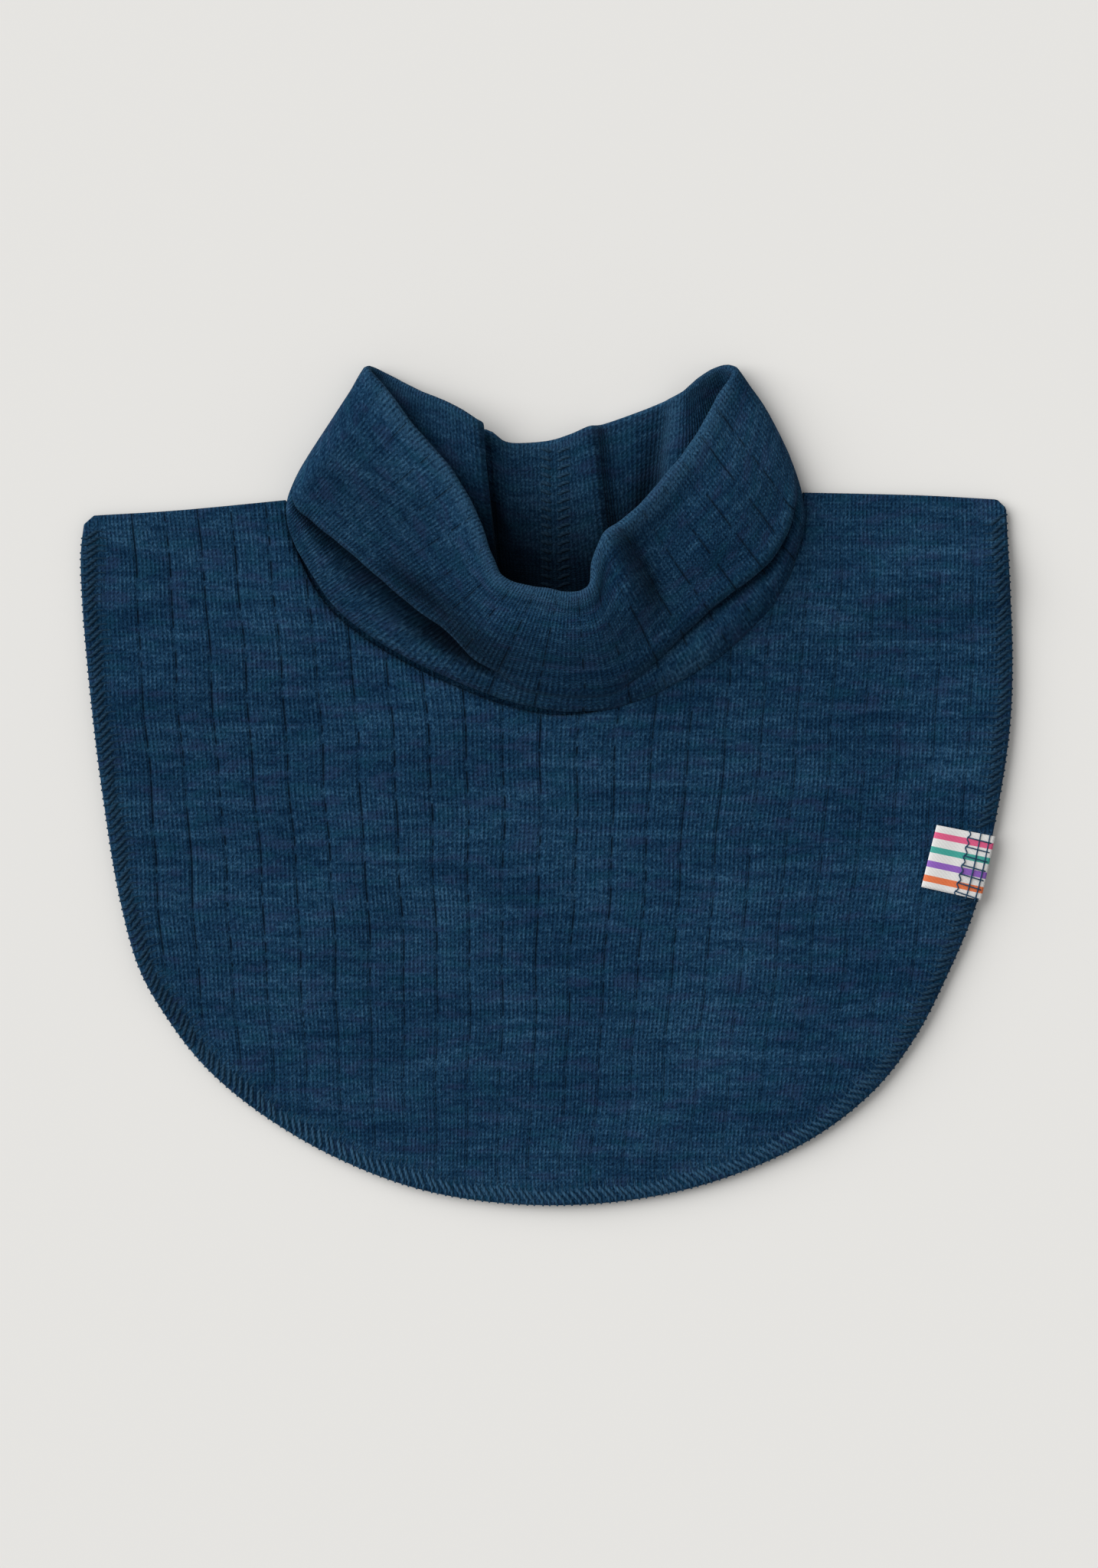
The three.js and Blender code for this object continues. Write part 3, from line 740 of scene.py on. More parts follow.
share_up = np.append(row_at, 1.0)[:, None]
front = (column_at * len(rails) <= len(FRONT_WALL) - 0.5)[None, :]
upper = smooth(0.78, 0.87, share_up) * (1 - smooth(0.985, 1.0, share_up) * 0.5) * front
middle[..., 2] += upper * soft_lines(COLLAR_FOLDS, middle[..., 0], middle[..., 1])
dip = smooth(0.92, 0.955, share_up) * (1 - smooth(0.96, 0.99, share_up)) * front
middle[..., 2] -= TOP_DIP * dip
uneven = ripple(middle[..., 0], middle[..., 1] + middle[..., 2], UNEVEN["size"], UNEVEN["seed"])
middle[..., 2] += UNEVEN["height"] * smooth(0.1, 0.3, share_up) * uneven
normals = surface_normals(middle)
print("deepest fold in mm:", min(z for _, points in COLLAR_FOLDS for _, _, z in points))

# %% [markdown]
# Two faces and the slit between the layers lie to either side of the middle surface. The
# stitching pinches the wall at its seam. At the top each pair of faces is joined by a half
# round: a wide one on the outside and a narrow one at the end of the slit.

# %% Faces of the collar
SEAM_PINCH = 0.6
LAYER_GAP = 0.05  # half the slit between the two layers
SHUT_LADDERS = 0.3  # on slack cloth the ladders stay shut
LIP_STEPS = 10
SLIT_STEPS = 4
SLIT_EVERY = 3  # rows: nobody sees into the slit

pinch = mix(SEAM_PINCH, 1, smooth(0, 0.2, share_up))
swell = mix(1, at_columns(collar_swells)[None, :], smooth(0.935, 0.990, share_up))
half = pinch * swell * at_columns(collar_walls)[None, :] / 2
relief = rib_relief(rib_places)[None, :] * smooth(0.02, 0.1, share_up)
relief = relief * mix(SHUT_LADDERS, 1, front)
outside = middle + normals * (half + relief)[..., None]
inside = middle - normals * (half + relief)[..., None]
slit = np.maximum(half - KNIT, LAYER_GAP)
slit_rows = np.append(np.arange(0, row_count - 1, SLIT_EVERY), row_count - 1)
slit_out = (middle + normals * slit[..., None])[slit_rows]
slit_in = (middle - normals * slit[..., None])[slit_rows]


def rolled(radius, steps):
    """The fold over the wall's top, from the outside to the inside."""
    up = middle[-1] - middle[-2]
    up /= np.linalg.norm(up, axis=-1, keepdims=True)
    angles = np.pi * np.arange(1, steps) / steps
    arms = [normals[-1] * math.cos(a) + up * math.sin(a) for a in angles]
    return np.array([middle[-1] + arm * radius[:, None] for arm in arms])


loop = np.concatenate([
    outside, rolled((half + relief)[-1], LIP_STEPS), inside[::-1],
    slit_in, rolled(slit[-1], SLIT_STEPS)[::-1], slit_out[::-1],
])
OUTER_ROWS = slice(0, row_count)
TOP_ROWS = slice(row_count, row_count + LIP_STEPS - 1)
INNER_ROWS = slice(TOP_ROWS.stop, TOP_ROWS.stop + row_count)
print("collar loop points:", len(loop), "top in mm:", round(float(loop[..., 2].max()), 1))

# %% [markdown]
# The wool's fuzz holds shade in the folds and the hollow, and catches light on the rolled top
# and on one ridge inside. Light paths between fibres can't be followed at this size, so both
# are painted: painted shade and a painted highlight, each a value for each point of the mesh,
# which the wool's shader turns into a darker or a paler yarn. The painted shade comes from the
# height up the wall and the place along it, from soft lines beside the dent, the crease and the
# valley, and from the depth of the hollow.

# %% Painted shade on the outside of the collar
PAINTED_SHADE_UP_WALL = [0.80, 0.30, 0.12, 0.9, 1, 1, 0.12, 0.06, 0.12, 0.0]  # from the seam to the top
PAINTED_SHADE_FRONT = [0.7, 0.9, 1, 1, 1, 1, 0.7, 0.3, 0.1, 0.1, 0.1, 0.1, 0.15, 0.2, 0.35, 0.5,
              0.55, 0.4]  # for each line of the front wall
FRONT_SHADE = [
    (3.2, [[19.0, 65.0, 0.3], [23.4, 58.0, 0.5], [27.4, 49.5, 0.55], [30.4, 45.0, 0.2]]),
    (3.6, [[-47, 60.4, 0.1], [-39.6, 56.1, 0.50], [-33.3, 51.0, 0.64], [-26.9, 46.0, 0.56],
           [-19.8, 40.0, 0.44], [-11.6, 35.4, 0.34], [-3.4, 33.4, 0.1]]),
    (3.4, [[-31, 43.0, 0.1], [-22.4, 36.6, 0.6], [-16.5, 32.6, 0.55], [-9, 30.0, 0.35],
           [-2, 29.0, 0.1]]),
    (14, [[-62, 84, 0.18], [-42, 70, 0.18], [-26, 56, 0.10]]),
    (3.2, [[24, 30.0, 0.1], [31, 34.5, 0.3], [40, 42.5, 0.3], [48, 49.5, 0.15]]),
]
STRIP_SHADE = [(3.4, [[-42, 45.0, 0.05], [-34, 39.8, 0.35], [-27, 36.0, 0.50],
                      [-19, 31.2, 0.55], [-11, 27.6, 0.25], [-3, 25.4, 0.05]])]


# Painted shade on the outer face: up the wall, along the front and beside the folds.
def painted_shade_outside():
    shares = share_up * (len(HEIGHTS) - 1)
    up_wall = np.interp(shares, range(len(HEIGHTS)), PAINTED_SHADE_UP_WALL)
    along = column_at * len(rails)
    on_front = np.interp(along, range(len(PAINTED_SHADE_FRONT)), PAINTED_SHADE_FRONT, right=0) * front
    places = np.moveaxis(middle[..., :2], 2, 0)
    on_wall = front * smooth(0.62, 0.70, share_up) * soft_lines(FRONT_SHADE, *places)
    on_strip = front * (1 - smooth(0.30, 0.40, share_up)) * soft_lines(STRIP_SHADE, *places)
    return up_wall * on_front + on_wall + on_strip


print("deepest outside:", round(float(painted_shade_outside().max()), 2))

# %% Painted shade in the hollow, and painted highlight
PAINTED_SHADE_BACK = [0, 0, 0, 0, 0.55, 0.25, 0.3, 0, 0, 0, 0.1, 0.2, 0.7, 1, 0.1, 0.05, 0.1, 0.1,
             0]  # for each line of the back wall
HOLLOW = (88, 56)  # the painted shade of the hollow grows between these y
INNER_SHADE = [(2.4, [[30.0, 98.0, 0.15], [27.0, 88.0, 0.3], [24.6, 78.0, 0.35],
                      [22.6, 68.0, 0.2]])]
INNER_LIGHT = [(2.2, [[34.6, 103.5, 0.8], [31.8, 94.0, 0.8], [29.6, 84.0, 0.6],
                      [28.0, 74.0, 0.2]])]
REAR_HIGHLIGHT = 0.35  # of the painted highlight at the front


def inner_lines(folds):
    return soft_lines(folds, *np.moveaxis(inside[::-1, :, :2], 2, 0))


# Painted shade on both faces, darkest low in the hollow and beside the pleats.
def painted_shade_values():
    deep = np.zeros(loop.shape[:2])
    deep[OUTER_ROWS] = painted_shade_outside()
    along = column_at * len(rails) - (len(FRONT_WALL) + len(RIGHT_FOLD))
    on_back = np.interp(along, range(len(PAINTED_SHADE_BACK)), PAINTED_SHADE_BACK, left=0, right=0)
    pleats = on_back * (1 - smooth(0.80, 1.0, share_up))
    pit = 0.15 + 0.75 * smooth(*HOLLOW, inside[::-1, :, 1])
    deep[INNER_ROWS] = (pit + inner_lines(INNER_SHADE)) * ~front + pleats[::-1] * 0.9
    return np.clip(deep, 0, 1)


# Painted highlight along the rolled top, fainter at the back, and on the lit ridge inside.
def painted_highlight_values():
    worn = np.zeros(loop.shape[:2])
    worn[OUTER_ROWS] = smooth(0.972, 0.996, share_up)
    worn[TOP_ROWS] = 1
    worn[INNER_ROWS] = worn[OUTER_ROWS][::-1]
    worn = worn * np.where(front, 1, REAR_HIGHLIGHT)
    worn[INNER_ROWS] = np.maximum(worn[INNER_ROWS], inner_lines(INNER_LIGHT) * ~front)
    return worn


# the share of the collar that carries a painted highlight
print("share of the collar that is worn:", round(float((painted_highlight_values() > 0.1).mean()), 3))

# %% [markdown]
# The outer face, the rolled top, the inner face and the slit between the two layers are one
# closed loop of points at each column, so the mesh is a grid that closes in both directions.

# %% Collar mesh
COURSES_PER_MM = 1.05
LADDERS_FROM = -24  # left of this the wall is slack and its ladders stay shut
LADDERS_FADE = 26

climb = np.linalg.norm(np.diff(loop, axis=0), axis=-1).mean(axis=1)
climb = np.concatenate([[0], np.cumsum(climb)]) * COURSES_PER_MM
loop_size = len(loop)
faces = []
pairs = []
wales_at = rib_places * WALES_PER_RIB
for i in range(column_count):
    ahead = (i + 1) % column_count
    here = wales_at[i]
    there = wales_at[ahead] + (collar_ribs * WALES_PER_RIB if ahead == 0 else 0)
    for k in range(loop_size):
        over = (k + 1) % loop_size
        top = climb[over] if over else climb[k] + 1
        faces.append((k * column_count + i, k * column_count + ahead,
                      over * column_count + ahead, over * column_count + i))
        pairs += [(here, climb[k]), (there, climb[k]), (there, top), (here, top)]
taut = smooth(LADDERS_FROM, LADDERS_FROM + LADDERS_FADE, loop[..., 0] + 0.35 * loop[..., 1])
ladders = mix(SHUT_LADDERS, 1, taut) * front
ladders[row_count:] *= SHUT_LADDERS
# The mesh holds the painted shade and the painted highlight as values for each point.
collar = mesh_object("collar_knit", loop.reshape(-1, 3), faces, wool_rib, {"knit": pairs},
                     {"open": ladders, "deep": painted_shade_values(), "worn": painted_highlight_values()})
collar_area = 0.5 * sum(face.area for face in collar.data.polygons)
print("collar faces:", len(faces), "cloth in square metres:", round(collar_area, 4))

# %% [markdown]
# ## The bib's panels
# The bib is cut from the same rib, so its wales run straight down and spread a little towards
# the neck, where the collar stretches it. Its outline is one closed line: the hem, the two
# shoulders and the neckline, which is the collar's seam moved off the collar a little.

# %% Edges of the bib
OUTER_EDGE = [
    [-123.9, 71.6], [-125.0, 62.0], [-124.6, 48.0], [-122.0, 20.0], [-118.7, -6.0],
    [-114.5, -31.0], [-109.3, -49.5], [-102.0, -62.5], [-92.0, -75.3], [-77.5, -87.6],
    [-57.0, -99.7], [-33.0, -108.6], [-5.0, -112.4], [23.0, -110.9], [47.2, -105.1],
    [71.0, -94.2], [87.2, -81.4], [97.6, -67.9], [105.9, -52.0], [114.0, -32.3],
    [119.5, -8.0], [123.0, 15.0], [123.7, 34.0], [122.8, 57.0], [122.0, 75.9],
]
LEFT_SHOULDER = [[-70.0, 75.9], [-99.5, 73.1], [-123.9, 71.6]]
RIGHT_SHOULDER = [[67.5, 77.9], [100.0, 77.1], [122.0, 75.9]]
CORNER_ROUND = 2.2  # at the outer ends of the shoulders


def dense(points, count=2000):
    return curve(points, np.linspace(0, 1, count))


outer_line = dense(OUTER_EDGE)
left_shoulder = dense(LEFT_SHOULDER, 400)
right_shoulder = dense(RIGHT_SHOULDER, 400)
along = lengths(outer_line)
outer_line = outer_line[(along > CORNER_ROUND) & (along < along[-1] - CORNER_ROUND)]
print("hem in mm:", round(float(lengths(outer_line)[-1]), 1))

# %% Neckline and closed outline
EDGE_STEP = 0.9
GAP = 0.3
SEAM_GAPE = ([-69, -62, 0, 24], [0.4, 2.2, 2.3, 0.4])  # open on the left, closed on the right
HALF_WIDTH = 125  # of the whole bib
HALF_LENGTH = 112
BACK_INSET = 1.4  # the back panel lies this far inside the front one


def neckline(wall_rows, away):
    """The collar's seam line, moved off the collar by a distance that depends on x."""
    seam = dense([[row["neckX"], row["neckY"]] for row in wall_rows])
    way = np.gradient(seam, axis=0)
    way /= np.linalg.norm(way, axis=-1, keepdims=True)
    return seam + away(seam[:, :1]) * np.stack([way[:, 1], -way[:, 0]], 1)


def drawn_in(line, inset):
    """A line of the bib made smaller all round."""
    return line * [1 - inset / HALF_WIDTH, 1 - inset / HALF_LENGTH]


def bib_outline(neck_line, inset):
    """The closed outline, with its outer corners cut off."""
    shoulders = [line[lengths(line) < lengths(line)[-1] - CORNER_ROUND]
                 for line in (left_shoulder, right_shoulder)]
    ring = np.concatenate([outer_line, shoulders[1][::-1], neck_line[::-1], shoulders[0]])
    ring = spaced(np.concatenate([ring, ring[:1]]), EDGE_STEP)[:-1]
    return drawn_in(ring, inset)


FRONT_NECK = neckline(FRONT_WALL, lambda x: np.interp(x, *SEAM_GAPE))
BACK_NECK = neckline(BACK_WALL[::-1], lambda x: GAP)
front_ring = bib_outline(FRONT_NECK, 0)
back_ring = bib_outline(BACK_NECK, BACK_INSET)
print("points on the outlines:", len(front_ring), len(back_ring))

# %% [markdown]
# Two questions come back for every point of a panel: how far it is from an edge, and whether
# it lies inside the outline. The first is worked out in batches, to keep the arrays small.

# %% Distance and inside
BATCH = 2000


def distance_to(line, points):
    """How far each point is from a line of points."""
    start, way = line[:-1], np.diff(line, axis=0)
    long = np.maximum((way ** 2).sum(1), 1e-12)
    found = np.empty(len(points))
    for at in range(0, len(points), BATCH):
        part = points[at:at + BATCH, None]
        t = np.clip(((part - start) * way).sum(-1) / long, 0, 1)
        found[at:at + BATCH] = np.linalg.norm(part - start - t[..., None] * way, axis=-1).min(1)
    return found


def is_inside(ring, points):
    """Whether each point lies inside a closed ring, by counting crossings to its right."""
    a, b = ring, np.roll(ring, -1, axis=0)
    inside_now = np.zeros(len(points), bool)
    for (ax, ay), (bx, by) in zip(a, b):
        if ay == by:
            continue
        across = (points[:, 1] < ay) != (points[:, 1] < by)
        inside_now ^= across & (points[:, 0] < ax + (points[:, 1] - ay) * (bx - ax) / (by - ay))
    return inside_now


neck_at = np.array([[0.0, 50.0], [0.0, 0.0]])
print("in the neck opening, then on the bib:", is_inside(front_ring, neck_at).tolist())

# %% [markdown]
# The dropped needles run down the bib as thin lines that spread towards the neck. A few of
# them are followed across five heights, and a smooth bend through those gives every rib, so
# a point of the bib knows which rib it lies in.

# %% Ribs of the bib
RIBS = [-12, -10, -7, -4, -2, 0, 3, 7, 10, 13, 15]  # these dropped needles run through
RIB_RUN = {  # these x, each row at its own y
    63: [-127.8, -110.4, -83.7, -55.5, -36.0, -13.0, 19.6, 61.0, 86.7, 113.3, 131.5],
    17: [-126.9, -108.3, -79.6, -51.3, -32.0, -12.1, 18.8, 57.5, 85.7, 113.0, 131.2],
    -14: [-123.8, -105.2, -77.9, -49.5, -31.2, -12.1, 17.0, 54.5, 82.6, 110.0, 128.2],
    -40: [-121.0, -102.6, -75.5, -47.8, -30.1, -12.2, 15.2, 51.6, 80.0, 107.4, 125.6],
    -78: [-118.5, -100.5, -73.4, -46.9, -29.7, -12.8, 13.4, 48.6, 75.6, 102.4, 120.2],
}
RUN_ENDS = (-100, 78)  # past these y the ribs run straight on

rib_bends = np.polyfit(list(RIB_RUN), list(RIB_RUN.values()), 2)


def rib_lines(y):
    """Where the dropped needles in RIBS cross each y."""
    y = np.clip(y, *RUN_ENDS)[:, None]
    return rib_bends[0] * y * y + rib_bends[1] * y + rib_bends[2]


def rib_of(x, y):
    """Which rib a point of the bib lies in; whole numbers are dropped needles."""
    lines = rib_lines(y)
    rib = np.full_like(x, RIBS[0])
    for k in range(len(RIBS) - 1):
        share = np.clip((x - lines[:, k]) / (lines[:, k + 1] - lines[:, k]), 0, 1)
        rib += share * (RIBS[k + 1] - RIBS[k])
    return rib + 0.025 * np.sin(y / 9.0 + x / 14.0) + 0.02 * np.sin(y / 4.3 - x / 31.0)


def open_ladders(x, y):
    """How far the dropped needles show: least low down and on the right."""
    upper = mix(0.35, 1, 1 - smooth(54, 66, y) * smooth(-80, 0, x))
    return upper * mix(1, 0.55, smooth(0, 90, x)) * mix(1, 0.55, smooth(-30, -95, y))


print("ribs across the shoulders:", round(float(np.ptp(rib_of(outer_line[[0, -1], 0],
                                                             outer_line[[0, -1], 1]))), 1))

# %% [markdown]
# The panel's height is the flat cloth, the soft folds in it and the rise where the collar
# holds it up at the neck. It dips into the open seam on the left and into the shoulder seams.

# %% Heights of the panels
FRONT_Z = KNIT + GAP + KNIT / 2
BACK_Z = KNIT / 2
NECK_LIFT = 2.3
NECK_REACH = 15
LIFT_ENDS = (52, 74)  # y over which the shoulder seams take the lift back
OPEN_SEAM_DIP = 0.9
SHOULDER_DIP = 0.6
SHOULDER_RISE = 0.3  # of the back panel, to meet the front one
SHOULDER_ROLL = 2.6
PANEL_UNEVEN = {"height": 0.12, "size": 24, "seed": 11}
PANEL_FOLDS = [
    (11, [[62, 45, 1.0], [90, 52, 2.4], [118, 58, 2.0]]),
    (12, [[-70, 44, 1.2], [-116, 20, 1.2]]),
    (14, [[-34, 14, 0.9], [-64, -44, 0.9]]),
    (16, [[30, 2, 0.9], [62, -60, 0.9]]),
    (12, [[112, 60, 0.3], [114, 40, 0.8], [112, 10, 1.1], [106, -24, 1.2], [95, -50, 1.1],
          [76, -74, 1.0], [46, -94, 0.9], [10, -101, 0.8], [-40, -96, 0.6], [-66, -82, 0]]),
    (8, [[-118, 5, 0.9], [-106, -50, 0.9]]),
]


def at_shoulder(x, y):
    """1 on the shoulder seams, where the two panels meet, and 0 away from them."""
    places = np.stack([x, y], 1)
    away = [distance_to(line[::20], places) for line in (left_shoulder, right_shoulder)]
    return 1 - smooth(0, SHOULDER_ROLL, np.minimum(*away))


def front_height(x, y):
    """Mid height of the front panel."""
    away = distance_to(FRONT_NECK[::8], np.stack([x, y], 1))
    lift = NECK_LIFT / (1 + (away / NECK_REACH) ** 2) + soft_lines(PANEL_FOLDS, x, y)
    open_seam = OPEN_SEAM_DIP * (1 - smooth(*STANDING, x))
    dip = open_seam * (1 - smooth(0, 1.6, away)) + SHOULDER_DIP * at_shoulder(x, y)
    uneven = PANEL_UNEVEN["height"] * ripple(x, y, PANEL_UNEVEN["size"], PANEL_UNEVEN["seed"])
    return FRONT_Z + lift * (1 - smooth(*LIFT_ENDS, y)) - dip + uneven


def back_height(x, y):
    """Mid height of the back panel."""
    return BACK_Z + SHOULDER_RISE * at_shoulder(x, y)


print("front panel at the middle of the bib in mm:",
      front_height(np.array([0.0]), np.array([-40.0])).round(2))

# %% [markdown]
# A panel could be a plain grid cut along its outline, but a cut grid has a ragged edge. So
# its points stand in rows along the ribs, with three rings of points inside the outline, and
# a triangulation joins them all. It keeps the edge exact, and every dropped needle lies on a
# row of the mesh.

# %% Points and triangles of a panel
ROW_STEP = 1.5
ROW_ENDS = (-113, 79)
RIB_SPACE = 9.2
EDGE_RINGS = [0.12, 0.35, 0.7]
EDGE_MARGIN = 1.0


def panel_plan(ring):
    """Points inside a ring, seen from above, and the triangles between them."""
    closed = np.concatenate([ring, ring[:1]])
    way = np.roll(ring, -1, axis=0) - np.roll(ring, 1, axis=0)
    way /= np.linalg.norm(way, axis=-1, keepdims=True)
    inward = np.stack([-way[:, 1], way[:, 0]], 1)
    near = np.concatenate([ring + inward * d for d in EDGE_RINGS])
    reach = np.repeat(EDGE_RINGS, len(ring))
    near = near[np.abs(distance_to(closed, near) - reach) < 0.03]
    rib_shares = np.add.outer(np.arange(RIBS[0], RIBS[-1]), RIB_COLUMNS).ravel()
    ys = np.arange(*ROW_ENDS, ROW_STEP)
    grid_y = np.repeat(ys, len(rib_shares))
    grid_x = np.concatenate([np.interp(rib_shares, RIBS, line) for line in rib_lines(ys)])
    for _ in range(3):
        grid_x -= (rib_of(grid_x, grid_y) - np.tile(rib_shares, len(ys))) * RIB_SPACE
    grid = np.stack([grid_x, grid_y], 1)
    grid = grid[is_inside(ring, grid)]
    grid = grid[distance_to(closed, grid) > EDGE_MARGIN]
    flat = np.concatenate([ring, near, grid])
    count = len(ring)
    edges = [(i, (i + 1) % count) for i in range(count)]
    found = delaunay_2d_cdt(flat.tolist(), edges, [list(range(count))], 1, 1e-5)
    plan = np.array([tuple(p) for p in found[0]])
    triangles = np.array(found[2])
    a, b, c = plan[triangles].swapaxes(0, 1)
    turn = ((b - a) * (c - a)[:, ::-1] * [1, -1]).sum(1) < 0
    triangles[turn] = triangles[turn][:, ::-1]
    return plan, triangles, distance_to(closed, plan)


front_plan = panel_plan(front_ring)
back_plan = panel_plan(back_ring)
print("points of the panels:", len(front_plan[0]), len(back_plan[0]))

# %% [markdown]
# The upper and the lower face use the same points and meet along the edge, where the cloth
# rounds over. Next to the hem the overlock squeezes the ribs flat. Under the collar's right
# side a soft band of the bib is darkened with painted shade.

# %% Panel meshes
EDGE_ROUND = 0.9
SEAM_BAND = 7.6  # width of the squeezed hem
RIB_ENDS = (62, 72)  # y over which the ribs flatten towards the shoulders
BIB_SHADE = [(5, [[66.5, 58.0, 0.1], [63.7, 50.6, 0.24], [54.1, 42.2, 0.26], [44.4, 36.2, 0.26],
                  [30.0, 28.4, 0.2], [18.0, 22.0, 0.05]])]


def round_edge(depth):
    """Share of the thickness that is left this far in from the cut edge."""
    return np.sqrt(1 - (1 - np.clip(depth / EDGE_ROUND, 0, 1)) ** 2)


def panel(name, plan, triangles, depth, height, relief_share):
    """A panel of the rib, with both faces and a rounded edge."""
    x, y = plan.T
    rim = round_edge(depth)
    rib = rib_of(x, y)
    band = smooth(SEAM_BAND - 2, SEAM_BAND, distance_to(outer_line[::8], plan))
    calm = band * (1 - smooth(*RIB_ENDS, y))
    face = relief_share * rib_relief(rib, open_ladders(x, y)) * calm
    level = height(x, y)
    top = level + rim * (KNIT / 2 + face)
    under = level - rim * (KNIT / 2 + face)
    ids = np.arange(len(plan))
    lower = np.where(depth < 1e-4, ids, len(plan) + ids)  # the two faces share their edge
    points = np.concatenate([np.stack([x, y, top], 1), np.stack([x, y, under], 1)])
    faces = np.concatenate([triangles, lower[triangles[:, ::-1]]])
    used, faces_again = np.unique(faces, return_inverse=True)
    corners = faces_again.reshape(-1, 3)
    knit = np.tile(np.stack([rib * WALES_PER_RIB, y * COURSES_PER_MM], 1), (2, 1))[used]
    # The panel holds a band of painted shade beside the collar's right side.
    spreads = {"open": relief_share * open_ladders(x, y) * mix(0.2, 1, band),
               "deep": relief_share * soft_lines(BIB_SHADE, x, y)}
    spreads = {spread: np.tile(values, 2)[used] for spread, values in spreads.items()}
    made = mesh_object(name, points[used], corners.tolist(), wool_rib,
                       {"knit": knit[corners.ravel()]}, spreads)
    area = sum(face.area for face in made.data.polygons) / 2
    print(name, "faces:", len(corners), "cloth in square metres:", round(area, 4))
    return made


front_panel = panel("front_knit", *front_plan, front_height, relief_share=1.0)
back_panel = panel("back_knit", *back_plan, back_height, relief_share=0.5)

# %% [markdown]
# ## Stitching
# Every seam here is made of short strands of one thread. Curves with a round bevel would do
# too, but hundreds of them are slow, so a seam is one mesh: a six-sided tube for each strand,
# closed at both ends, through points that the seam gives.

# %% Strands of thread
STRAND_SIDES = 6
TWIST_PITCH = 1.3  # mm from one turn of the thread's twist to the next


def strands(name, paths, radii, material, deep=None):
    """Closed tubes along paths[strand, point] in one mesh; the last argument is painted shade for
    each point.
    """
    paths = np.asarray(paths, float)
    count, size = paths.shape[:2]
    way = np.gradient(paths, axis=1)
    way /= np.linalg.norm(way, axis=-1, keepdims=True)
    side = np.cross(way, [0.02, 0.05, 1.0])
    side /= np.linalg.norm(side, axis=-1, keepdims=True)
    lift = np.cross(side, way)
    angles = 2 * np.pi * np.arange(STRAND_SIDES) / STRAND_SIDES
    rings = [paths + np.asarray(radii)[:, None] * (side * math.cos(a) + lift * math.sin(a))
             for a in angles]
    points = np.stack(rings, 2)  # strand, point, side
    along = np.concatenate([np.zeros((count, 1)), np.cumsum(
        np.linalg.norm(np.diff(paths, axis=1), axis=-1), axis=1)], axis=1) / TWIST_PITCH
    ids = np.arange(points[..., 0].size).reshape(points.shape[:3])
    faces, pairs = [], []
    for strand in range(count):
        first, last = ids[strand, 0], ids[strand, -1]
        faces += [first.tolist(), last[::-1].tolist()]
        pairs += [(k / STRAND_SIDES, 0) for k in range(STRAND_SIDES)] * 2
        for i in range(size - 1):
            for k in range(STRAND_SIDES):
                nxt = (k + 1) % STRAND_SIDES
                faces.append((ids[strand, i, k], ids[strand, i + 1, k],
                              ids[strand, i + 1, nxt], ids[strand, i, nxt]))
                low, high = k / STRAND_SIDES, (k + 1) / STRAND_SIDES
                a, b = along[strand, i], along[strand, i + 1]
                pairs += [(low, a), (low, b), (high, b), (high, a)]
    faces = [tuple(int(corner) for corner in face) for face in faces]
    spreads = {} if deep is None else {"deep": np.repeat(deep, STRAND_SIDES)}
    made = mesh_object(name, points.reshape(-1, 3), faces, material, {"strand": pairs}, spreads)
    print(name, "strands:", count, "faces:", len(faces))
    return made


# %% [markdown]
# The hem is overlocked: a looper thread wraps the cut edge, lies slanted over it and sinks into
# the cloth on its way to the needle line, every two millimetres. One strand's points are given
# as steps ahead along the hem, inward from the edge and up off the cloth, with a radius. The
# same strand is repeated all round, with a little unevenness.

# %% One strand of the hem
HEM_PITCH = 2.0
HEM_ENDS = (1.0, 3.0)  # left free at the two ends of the hem
LOOPER = rows(["ahead", "inward", "lift", "radius"], [
    [2.60, 0.20, -0.75, 0.26],
    [2.58, -0.05, -0.18, 0.30],
    [2.50, 0.55, -0.02, 0.34],
    [2.35, 1.30, 0.00, 0.40],
    [1.30, 2.50, 0.12, 0.50],
    [0.25, 3.70, 0.02, 0.44],
    [0.00, 4.40, -0.24, 0.32],
    [0.05, 6.10, -0.22, 0.27],
    [0.10, 7.30, -0.36, 0.20],
])
LOOPER_RADII = [step["radius"] for step in LOOPER]


def hem_place(line, ahead, inward):
    """Point of the bib at a distance along its hem and another in from the edge."""
    at = at_lengths(line, ahead)
    way = at_lengths(line, ahead + 0.5) - at_lengths(line, ahead - 0.5)
    way /= np.linalg.norm(way, axis=-1, keepdims=True)
    return at + inward[:, None] * np.stack([-way[:, 1], way[:, 0]], 1)


def hem_strands(line, height, keep, side=1, lift_share=1.0, sink=0):
    """Paths of the strands on the upper or lower side, 1 or -1, of a panel."""
    starts = np.arange(HEM_ENDS[0], lengths(line)[-1] - HEM_ENDS[1], HEM_PITCH)
    starts = starts + 0.16 * np.sin(starts * 1.7) + 0.10 * np.sin(starts * 0.61)
    starts = starts[keep(at_lengths(line, starts))]
    wobble = 1 + 0.12 * np.sin(starts * 2.9)
    paths = []
    for step in LOOPER:
        place = hem_place(line, starts + step["ahead"], step["inward"] * wobble)
        level = height(place[:, 0], place[:, 1])
        lift = round_edge(step["inward"]) * KNIT / 2 + step["lift"] * lift_share - sink
        paths.append(np.column_stack([place, level + side * lift]))
    return np.stack(paths, 1)


print("length of one strand in mm:", round(sum(
    math.dist((a["ahead"], a["inward"]), (b["ahead"], b["inward"]))
    for a, b in zip(LOOPER, LOOPER[1:])), 1))

# %% [markdown]
# On the front the strands stop beside the label. Up the sides they show less, and so does each
# strand's inner end where it goes into the cloth: painted shade darkens both. Underneath, the
# hem is pressed flat, so its strands are thinner and sink into the cloth.

